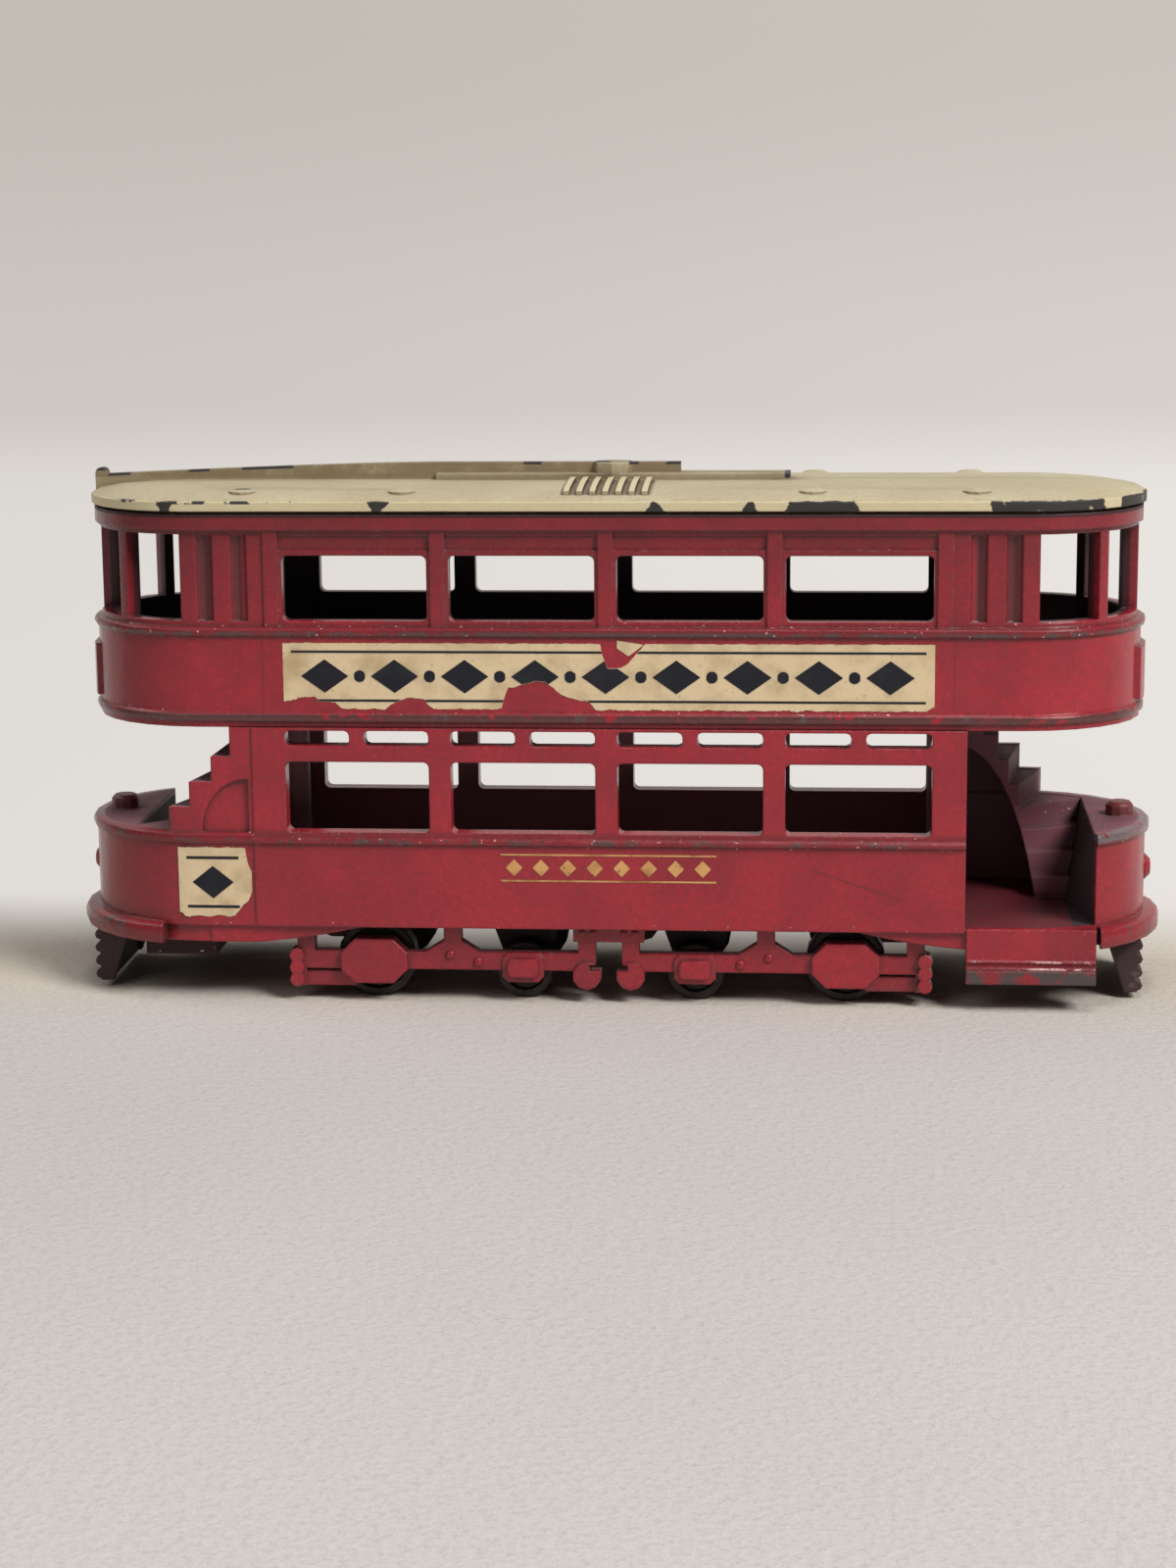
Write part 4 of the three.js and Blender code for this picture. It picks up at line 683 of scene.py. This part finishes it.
def worn_cream():
    """Yellowed roof enamel, grimy along the pole and chipped to dark metal round the edge, with a painted
    highlight on the edge and the louvre slats and painted shade between the slats.
    """
    s = Shader("roof_cream")
    grain = s.noise(2.6, 3)
    patches = s.noise(0.5, 5, 0.7)
    out = s.stadium_distance(DECK_CENTRE)
    on_edge = s.ramp(out, ROOF_RADIUS - 0.14, ROOF_RADIUS - 0.04)
    paint = s.mix(s.ramp(s.noise(0.13, 4), 0.3, 0.7), CREAM_AGED, CREAM)
    paint = s.mix(s.ramp(grain, 0.6, 0.2), paint, s.mix(0.25, paint, ROOF_GRIME))
    # Painted highlight on the roof's edge
    paint = s.mix(s.share(on_edge, 0.6), paint, CREAM_HIGHLIGHT)
    louvres = s.both(s.ramp(s.along, LOUVRES_HALF + 0.2, LOUVRES_HALF), s.band(s.across, *LOUVRES_ACROSS))
    # Painted shade between the louvre slats
    gap_shade = s.both(louvres, s.crevices(0.8, 0.62, 0.95))
    joints = s.both(s.crevices(1.2, 0.5, 0.95), s.ramp(patches, 0.1, 0.45))
    # Painted highlight on the louvre slats
    paint = s.mix(s.share(s.both(louvres, s.opposite(gap_shade)), 0.6), paint, CREAM_HIGHLIGHT)
    drawn_out = s.noise(0.5, 4, 0.6, (0.25, 1.6, 1.0))
    streaks = s.both(s.ramp(s.across, *POLE_STREAKS), s.ramp(drawn_out, 0.35, 0.65))
    streaks = s.both(streaks, s.ramp(s.x, PLANK_END + 2.0, PLANK_END))
    fin_side = s.ramp(s.across, FIN_HALF + 0.15, FIN_HALF)
    fin_head = s.ramp(s.z, PLANK_TOP - 0.6, PLANK_TOP - 0.2)
    fin = s.both(fin_side, fin_head, s.ramp(patches, 0.15, 0.55))
    paint = s.mix(s.share(s.either(joints, streaks, fin), 0.75), paint, ROOF_GRIME)
    # Painted shade between the slats
    paint = s.mix(s.share(gap_shade, 0.9), paint, LOUVRE_GAP_SHADE)
    rubbed = s.both(s.edges(0.14, 0.05, 0.2), s.ramp(patches, 0.6, 0.68))
    bare = s.either(*roof_chips(s, out), *pole_chips(s, patches), rubbed)
    colour = s.mix(bare, paint, CHIP_METAL)
    relief = s.math("SUBTRACT", s.share(grain, 0.35), bare)
    rough = s.math("MULTIPLY_ADD", grain, 0.2, 0.38)
    return s.finish(colour, rough, s.share(bare, 0.3), relief, 0.035, 0.12)


def wandering(s, per_mm, reach):
    """The place along X, shifted to and fro, which makes the ends of a chip ragged."""
    return s.math("MULTIPLY_ADD", s.math("SUBTRACT", s.noise(per_mm, 4, 0.7), 0.5), reach, s.x)


def slanted(s, x, up, first, last, draw_in):
    """A span along X whose ends draw in from the foot to the head."""
    starts = s.ramp(s.math("MULTIPLY_ADD", up, -draw_in, x), first - 0.05, first + 0.05)
    ends = s.ramp(s.math("MULTIPLY_ADD", up, draw_in, x), last + 0.05, last - 0.05)
    return s.both(starts, ends)


def roof_chips(s, out):
    """Chips on the edge, at given spans on the near side and by chance on the far one, and near dashes."""
    near = s.ramp(s.y, 0.3, -0.3)
    ragged_out = s.math("MULTIPLY_ADD", s.math("SUBTRACT", s.noise(1.1, 3), 0.5), 0.5, out)
    lip = s.ramp(ragged_out, ROOF_RADIUS - 0.16, ROOF_RADIUS - 0.06)
    x = wandering(s, 1.3, 0.9)
    up = s.math("DIVIDE", s.math("SUBTRACT", s.z, ROOF_Z), ROOF_EDGE)
    spans = s.either(*[slanted(s, x, up, *chip) for chip in ROOF_CHIPS])
    chance = s.ramp(s.noise(0.24, 5, 0.6), 0.56, 0.58)
    by_rim = s.ramp(out, ROOF_RADIUS - 0.2, ROOF_RADIUS - 0.12)
    arris = s.both(s.ramp(s.z, ROOF_Z + 0.7, ROOF_Z + 0.75), by_rim)
    broken = s.ramp(s.noise(0.9, 3, 0.6), 0.5, 0.53)
    dashes = s.both(arris, near, s.band(s.x, *ROOF_DASHES, 0.5), broken)
    return s.both(lip, near, spans), s.both(lip, s.opposite(near), chance), dashes


def pole_chips(s, patches):
    """Bare top of the pole and of its hook, the plank's bare end, and one worn ventilator."""
    fallen = s.math("DIVIDE", s.math("SUBTRACT", POLE_LEVEL_FROM, s.x), POLE_FALL_RUN)
    drop = s.share(s.math("POWER", s.math("MAXIMUM", fallen, 0.0), POLE_FALL_POWER), POLE_FALL)
    level_z = s.math("ADD", s.z, drop)
    on_pole = s.ramp(s.across, POLE_HALF + 0.4, POLE_HALF)
    top = s.both(s.ramp(level_z, ROOF_TOP - 0.24, ROOF_TOP - 0.12), on_pole)
    x = wandering(s, 0.9, 1.2)
    spans = s.either(*[s.band(x, *chip) for chip in POLE_CHIPS])
    on_plank = s.band(s.z, PLANK_TOP - 0.35, PLANK_TOP + 0.1, 0.05)
    end = s.both(s.ramp(s.x, PLANK_END - 0.5, PLANK_END - 0.3), on_plank)
    on_hook = s.ramp(s.x, HOOK_START, HOOK_START - 0.3)
    hook = s.both(on_hook, s.ramp(s.z, HOOK_TOP - 0.3, HOOK_TOP - 0.15))
    from_vent = s.plan_distance(-VENT_X, -VENT_Y)
    vent = s.both(s.ramp(from_vent, VENT_RADIUS + 0.2, VENT_RADIUS), s.ramp(patches, 0.36, 0.5))
    bare_end = s.both(end, s.ramp(s.across, PLANK_HALF + 0.2, PLANK_HALF))
    return s.both(top, spans), bare_end, hook, s.share(vent, 0.75)


def dark_metal(name, colour, worn, rough, metallic):
    """A tarnished casting with paler rubbed edges."""
    s = Shader(name)
    grain = s.noise(2.4, 4)
    patches = s.noise(0.7, 4, 0.6)
    base = s.mix(s.ramp(patches, 0.3, 0.7), s.mix(0.5, colour, TARNISH), colour)
    rubbed = s.both(s.edges(0.15, 0.04, 0.2), s.ramp(patches, 0.4, 0.65))
    tone = s.mix(rubbed, base, worn)
    return s.finish(tone, s.math("MULTIPLY_ADD", grain, 0.3, rough), metallic, grain, 0.02, 0.1)


def printed(name, colour, stain, rough=0.5, metallic=0.0):
    """The thin film of an old transfer, stained and slightly cracked."""
    s = Shader(name)
    blotch = s.noise(0.35, 4, 0.6)
    fine = s.noise(3.0, 3, 0.6)
    tone = s.mix(s.ramp(blotch, 0.42, 0.75), colour, stain)
    tone = s.mix(s.ramp(fine, 0.62, 0.74), tone, stain)
    return s.finish(tone, s.math("MULTIPLY_ADD", fine, 0.2, rough - 0.1), metallic, fine, 0.008)


def smooth_castings():
    """A modifier on each casting that joins the facets' corners and shades the round forms smooth."""
    group = bpy.data.node_groups.new("smooth_facets", "GeometryNodeTree")
    group.interface.new_socket("Geometry", in_out="INPUT", socket_type="NodeSocketGeometry")
    group.interface.new_socket("Geometry", in_out="OUTPUT", socket_type="NodeSocketGeometry")
    start = group.nodes.new("NodeGroupInput")
    end = group.nodes.new("NodeGroupOutput")
    merge = group.nodes.new("GeometryNodeMergeByDistance")
    merge.inputs["Distance"].default_value = JOIN_WITHIN * MM
    faces = group.nodes.new("GeometryNodeSetShadeSmooth")
    sharp = group.nodes.new("GeometryNodeSetShadeSmooth")
    sharp.domain = "EDGE"
    sharp.inputs["Shade Smooth"].default_value = False
    angle = group.nodes.new("GeometryNodeInputMeshEdgeAngle")
    steep = group.nodes.new("FunctionNodeCompare")
    steep.inputs[1].default_value = math.radians(SMOOTH_DEGREES)
    group.links.new(angle.outputs["Unsigned Angle"], steep.inputs[0])
    group.links.new(steep.outputs[0], sharp.inputs["Selection"])
    for source, target in ((start, merge), (merge, faces), (faces, sharp), (sharp, end)):
        group.links.new(source.outputs[0], target.inputs[0])
    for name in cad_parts:
        casting = bpy.data.objects[name]
        casting.modifiers.new("smooth_facets", "NODES").node_group = group


def dress(node, material):
    casting = bpy.data.objects[node]
    casting.data.materials.clear()
    casting.data.materials.append(material)


def new_object(name, bm, material):
    mesh = bpy.data.meshes.new(name)
    bm.to_mesh(mesh)
    bm.free()
    mesh.materials.append(material)
    made = bpy.data.objects.new(name, mesh)
    bpy.context.scene.collection.objects.link(made)
    return made


def new_piece(name, bm, material):
    piece = new_object(name, bm, material)
    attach(piece, BODY)


def along_line(points, x):
    """Height at x of the line through the points, level beyond both ends."""
    if x <= points[0][0]:
        return points[0][1]
    for (x0, z0), (x1, z1) in zip(points, points[1:]):
        if x <= x1:
            return z0 + (z1 - z0) * (x - x0) / (x1 - x0)
    return points[-1][1]


def ragged(x, seed, amount):
    """A torn edge's wander at x."""
    coarse = noise.noise(Vector((x * 1.3, seed, 0.0)))
    fine = noise.noise(Vector((x * 5.0, seed + 9.0, 0.0)))
    return amount * (0.65 * coarse + 0.35 * fine)


def sheet_low(x):
    return SHEET_FOOT + along_line(SHEET_RISES, x) + ragged(x, 5.0, 0.16)


def sheet_high(x):
    return SHEET_HEAD - along_line(SHEET_DROPS, x) + ragged(x, 15.0, 0.08)


def flake_low(x):
    return SHEET_HEAD + along_line(FLAKE_LOW, x)


def flake_high(x):
    return SHEET_HEAD + along_line(FLAKE_HIGH, x)


def label_low(x):
    return LABEL_FOOT + along_line(LABEL_RISES, x) + ragged(x, 21.0, 0.2)


def label_high(x):
    return LABEL_HEAD - along_line(LABEL_DROPS, x) + ragged(x, 31.0, 0.14)


def flat_side(y):
    return lambda x: -y


def stadium_side(centre, radius):
    """The near side's depth along X, where it bends round the two arc centres."""

    def depth(x):
        beyond = max(0.0, abs(x) - centre)
        return -math.sqrt(radius**2 - beyond**2)

    return depth


def film(bm, span, low, high, side, lift, column=COLUMN):
    """Adds the columns within the span where the film has any height."""
    first, last = span
    count = max(2, round((last - first) / column))
    before = None
    for i in range(count + 1):
        x = first + (last - first) * i / count
        bottom, top = low(x), high(x)
        made = None
        if top - bottom > THINNEST_FILM:
            heights = [bottom + (top - bottom) * k / FILM_ROWS for k in range(FILM_ROWS + 1)]
            made = [bm.verts.new((x * MM, (side(x) - lift) * MM, z * MM)) for z in heights]
            if before:
                for k in range(FILM_ROWS):
                    bm.faces.new((before[k], made[k], made[k + 1], before[k + 1]))
        before = made


def clipped(shape, low, high):
    """Keeps a motif's low and high edges within a torn outline."""
    shape_low, shape_high = shape
    return (
        lambda x: max(shape_low(x), low(x) + MOTIF_MARGIN),
        lambda x: min(shape_high(x), high(x) - MOTIF_MARGIN),
    )


def lozenge(middle, half, height, z):
    def reach(x):
        return height * max(0.0, 1 - abs(x - middle) / half)

    return lambda x: z - reach(x), lambda x: z + reach(x)


def disc(middle, radius, z):
    def reach(x):
        return math.sqrt(max(0.0, radius**2 - (x - middle) ** 2))

    return lambda x: z - reach(x), lambda x: z + reach(x)


def level(z, thick):
    return lambda x: z - thick / 2, lambda x: z + thick / 2


def side_sheet(cream, ink):
    """A plain cream sheet with a frieze of lozenges and discs between two rules."""
    side = stadium_side(DECK_CENTRE, DECK_RADIUS)
    sheet = bmesh.new()
    film(sheet, (SHEET_START, SHEET_END), sheet_low, sheet_high, side, FILM)
    flake_span = (FLAKE_HIGH[0][0], FLAKE_HIGH[-1][0])
    film(sheet, flake_span, flake_low, flake_high, side, 2 * FILM)
    new_piece("side_transfer", sheet, cream)
    motif = bmesh.new()

    def ink_shape(first, last, shape):
        film(motif, (first, last), *clipped(shape, sheet_low, sheet_high), side, 2 * FILM, FINE_COLUMN)

    for z in (SHEET_MIDDLE - FRIEZE_RULE_OFFSET, SHEET_MIDDLE + FRIEZE_RULE_OFFSET):
        ink_shape(SHEET_START + FRIEZE_RULE_INSET, SHEET_END - FRIEZE_RULE_INSET, level(z, FRIEZE_RULE))
    first = -FRIEZE_PITCH * (FRIEZE_COUNT - 1) / 2
    for i in range(FRIEZE_COUNT):
        x = first + i * FRIEZE_PITCH
        ink_shape(x - FRIEZE_HALF, x + FRIEZE_HALF, lozenge(x, FRIEZE_HALF, FRIEZE_HEIGHT, SHEET_MIDDLE))
    for i in range(FRIEZE_COUNT - 1):
        x = first + (i + 0.5) * FRIEZE_PITCH
        ink_shape(x - FRIEZE_DISC, x + FRIEZE_DISC, disc(x, FRIEZE_DISC, SHEET_MIDDLE))
    new_piece("side_transfer_frieze", motif, ink)


def dash_label(cream, ink):
    """The small cream label on the closed side of the platform, with a lozenge between two rules."""
    side = stadium_side(DASH_CENTRE, DASH_RADIUS)
    sheet = bmesh.new()
    film(sheet, (LABEL_START, LABEL_END), label_low, label_high, side, FILM)
    new_piece("dash_transfer", sheet, cream)
    motif = bmesh.new()

    def ink_shape(half, shape):
        span = (MARK_X - half, MARK_X + half)
        film(motif, span, *clipped(shape, label_low, label_high), side, 2 * FILM, FINE_COLUMN)

    ink_shape(MARK_HALF, lozenge(MARK_X, MARK_HALF, MARK_HEIGHT, MARK_Z))
    for z in (MARK_Z - MARK_RULE_OFFSET, MARK_Z + MARK_RULE_OFFSET):
        ink_shape(MARK_RULE_HALF, level(z, MARK_RULE))
    new_piece("dash_transfer_mark", motif, ink)


def gold_frieze(gold):
    """A worn gold line of small lozenges between two rules on the lower side."""
    side = flat_side(SALOON_SIDE)
    bm = bmesh.new()
    for z in (GOLD_Z - GOLD_RULE_OFFSET, GOLD_Z + GOLD_RULE_OFFSET):
        film(bm, (GOLD_START, GOLD_END), *level(z, GOLD_RULE), side, FILM)
    for i in range(GOLD_COUNT):
        x = GOLD_START + (i + 0.5) * (GOLD_END - GOLD_START) / GOLD_COUNT
        span = (x - GOLD_HALF, x + GOLD_HALF)
        film(bm, span, *lozenge(x, GOLD_HALF, GOLD_HEIGHT, GOLD_Z), side, FILM, FINE_COLUMN)
    new_piece("side_gold_line", bm, gold)


def frame_rivets(material):
    """Round heads on both sides of the truck frames."""
    flatten = Matrix.Diagonal((1.0, RIVET_FLATTENED, 1.0, 1.0))
    bm = bmesh.new()
    for along, height in RIVET_PLACES:
        for x in (-along, along):
            for side in (-1, 1):
                head = Matrix.Translation(Vector((x, side * FRAME_FACE, height)) * MM) @ flatten
                bmesh.ops.create_uvsphere(
                    bm, u_segments=12, v_segments=8, radius=RIVET_RADIUS * MM, matrix=head
                )
    for face in bm.faces:
        face.smooth = True
    new_piece("frame_rivet_heads", bm, material)


def pale_floor():
    """Off-white cloth. Behind the tram and far away, what is seen of it is a pale background that glows:
    painted light, graded by height and darker towards the left as painted shade, which also covers the tram's
    shadow behind it.
    """
    s = Shader("pale_floor")
    weave = s.noise(1.2, 3, 0.6)
    tone = s.mix(s.ramp(s.y, *FRONT_TONE), FLOOR, FLOOR_FRONT)
    tone = s.mix(s.ramp(s.y, *BACK_TONE), tone, FLOOR_BACK)
    tone = s.mix(s.share(s.ramp(s.noise(2.4, 4, 0.75), 0.45, 0.7), 0.3), tone, FLOOR_FLECK)
    tone = s.mix(s.ramp(s.noise(0.012, 3), 0.3, 0.7), tone, s.mix(0.06, tone, BLACK))
    tone = s.mix(s.ramp(s.z, *WALL_TONE), tone, BACKDROP)
    material = s.finish(tone, 0.95, 0.0, weave, 0.15)
    path = s.tree.nodes.new("ShaderNodeLightPath")
    seen = s.either(*[path.outputs[f"Is {kind} Ray"] for kind in ("Camera", "Glossy", "Transmission")])
    behind = s.mix(s.ramp(s.z, *GLOW_LOW), BEHIND_LOW, BEHIND_MIDDLE)
    behind = s.mix(s.ramp(s.z, *GLOW_HIGH), behind, BEHIND_HIGH)
    behind = s.mix(s.share(s.ramp(s.x, *GLOW_LEFT), 0.2), behind, BEHIND_LEFT_SHADE)
    away = s.plan_distance(0.0, 0.0)
    behind = s.mix(s.ramp(away, *GLOW_FAR), behind, BEHIND_HIGH)
    far_off = s.both(path.outputs["Is Camera Ray"], s.ramp(away, *GLOW_AROUND))
    glow = s.tree.nodes.new("ShaderNodeEmission")
    s.feed(glow.inputs["Color"], behind)
    blend = s.tree.nodes.new("ShaderNodeMixShader")
    # Painted light: the glow also covers the tram's shadow behind it
    s.feed(blend.inputs["Fac"], s.either(s.both(seen, s.ramp(s.y, *GLOW_BEHIND)), far_off))
    s.tree.links.new(s.surface.outputs[0], blend.inputs[1])
    s.tree.links.new(glow.outputs[0], blend.inputs[2])
    s.tree.links.new(blend.outputs[0], s.tree.nodes["Material Output"].inputs["Surface"])
    return material


def sweep():
    """The floor, which bends up behind into a backdrop."""
    bm = bmesh.new()
    turns = [math.pi / 2 * i / STAGE_BEND_STEPS for i in range(1, STAGE_BEND_STEPS + 1)]
    profile = [(STAGE_FRONT, 0.0), (STAGE_BACK, 0.0)]
    for turn in turns:
        y = STAGE_BACK + STAGE_BEND * math.sin(turn)
        z = STAGE_BEND - STAGE_BEND * math.cos(turn)
        profile.append((y, z))
    profile.append((STAGE_BACK + STAGE_BEND, STAGE_RISE))
    rows = [[bm.verts.new((x, y, z)) for x in (-STAGE_HALF, STAGE_HALF)] for y, z in profile]
    for a, b in zip(rows, rows[1:]):
        bm.faces.new((a[0], a[1], b[1], b[0])).smooth = True
    floor = new_object("floor", bm, pale_floor())


def lamp(name, place, size, power):
    light = bpy.data.lights.new(name, "AREA")
    light.shape = "DISK"
    light.size = size
    light.energy = power
    light.color = LAMP_COLOUR
    made = bpy.data.objects.new(name, light)
    made.location = place
    aim = Vector(LAMP_AIM) - Vector(place)
    made.rotation_euler = aim.to_track_quat("-Z", "Y").to_euler()
    bpy.context.scene.collection.objects.link(made)


def surround():
    """A dim even light, which is seen directly as a pale background."""
    world = bpy.data.worlds.new("studio")
    world.use_nodes = True
    tree = world.node_tree
    light = tree.nodes["Background"]
    light.inputs["Color"].default_value = (*WORLD_COLOUR, 1.0)
    light.inputs["Strength"].default_value = WORLD_STRENGTH
    seen = tree.nodes.new("ShaderNodeBackground")
    seen.inputs["Color"].default_value = (*BEHIND_HIGH, 1.0)
    path = tree.nodes.new("ShaderNodeLightPath")
    blend = tree.nodes.new("ShaderNodeMixShader")
    tree.links.new(path.outputs["Is Camera Ray"], blend.inputs["Fac"])
    tree.links.new(light.outputs[0], blend.inputs[1])
    tree.links.new(seen.outputs[0], blend.inputs[2])
    tree.links.new(blend.outputs[0], tree.nodes["World Output"].inputs["Surface"])
    bpy.context.scene.world = world


def studio():
    """A pale sweep, a strong lamp from the right, weaker ones from the left front, above and the left."""
    sweep()
    for name, (place, size, power) in LAMPS.items():
        lamp(name, place, size, power)
    surround()


def photo_camera():
    """The photograph's viewpoint: slightly above, from the right of the middle."""
    yaw = math.radians(CAMERA_YAW)
    pitch = math.radians(CAMERA_PITCH)
    roll = math.radians(CAMERA_ROLL)
    forward = Vector((math.sin(yaw) * math.cos(pitch), math.cos(yaw) * math.cos(pitch), -math.sin(pitch)))
    level_right = Vector((math.cos(yaw), -math.sin(yaw), 0.0))
    level_up = level_right.cross(forward)
    right = math.cos(roll) * level_right + math.sin(roll) * level_up
    up = right.cross(forward)
    data = bpy.data.cameras.new("photo_camera")
    data.sensor_fit = "VERTICAL"
    data.sensor_height = CAMERA_SENSOR
    data.lens = CAMERA_LENS
    data.clip_start = CAMERA_CLIP
    camera = bpy.data.objects.new("photo_camera", data)
    turn = Matrix((right, up, -forward)).transposed().to_4x4()
    camera.matrix_world = Matrix.Translation(Vector(CAMERA_PLACE) * MM) @ turn
    bpy.context.scene.collection.objects.link(camera)
    bpy.context.scene.camera = camera


photo_camera()
studio()
smooth_castings()

lower_red = worn_red("lower_red", lower_stains, lower_rubs, lower_flecks_and_glints)
upper_red = worn_red("upper_red", upper_stains, upper_rubs, upper_flecks_and_glints)
wheel_metal = dark_metal("wheel_metal", WHEEL_METAL, WHEEL_RUBBED, 0.35, 0.7)
steel = dark_metal("axle_steel", STEEL, STEEL_RUBBED, 0.3, 0.9)
dress("lower_body", lower_red)
dress("upper_deck", upper_red)
dress("roof", worn_cream())
dress("base_plate", dark_metal("base_casting", DARK_CASTING, DARK_CASTING_RUBBED, 0.5, 0.2))
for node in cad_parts:
    if node.startswith("wheel"):
        dress(node, wheel_metal)
    elif node.startswith("axle") or "rivet" in node:
        dress(node, steel)

cream_film = printed("transfer_cream", TRANSFER_CREAM, TRANSFER_STAIN)
ink_film = printed("transfer_ink", NAVY, NAVY_WORN, 0.65)
side_sheet(cream_film, ink_film)
dash_label(cream_film, ink_film)
gold_frieze(printed("transfer_gold", GOLD, GOLD_WORN, 0.45, 0.2))
frame_rivets(lower_red)

bpy.context.scene.view_settings.view_transform = "Standard"
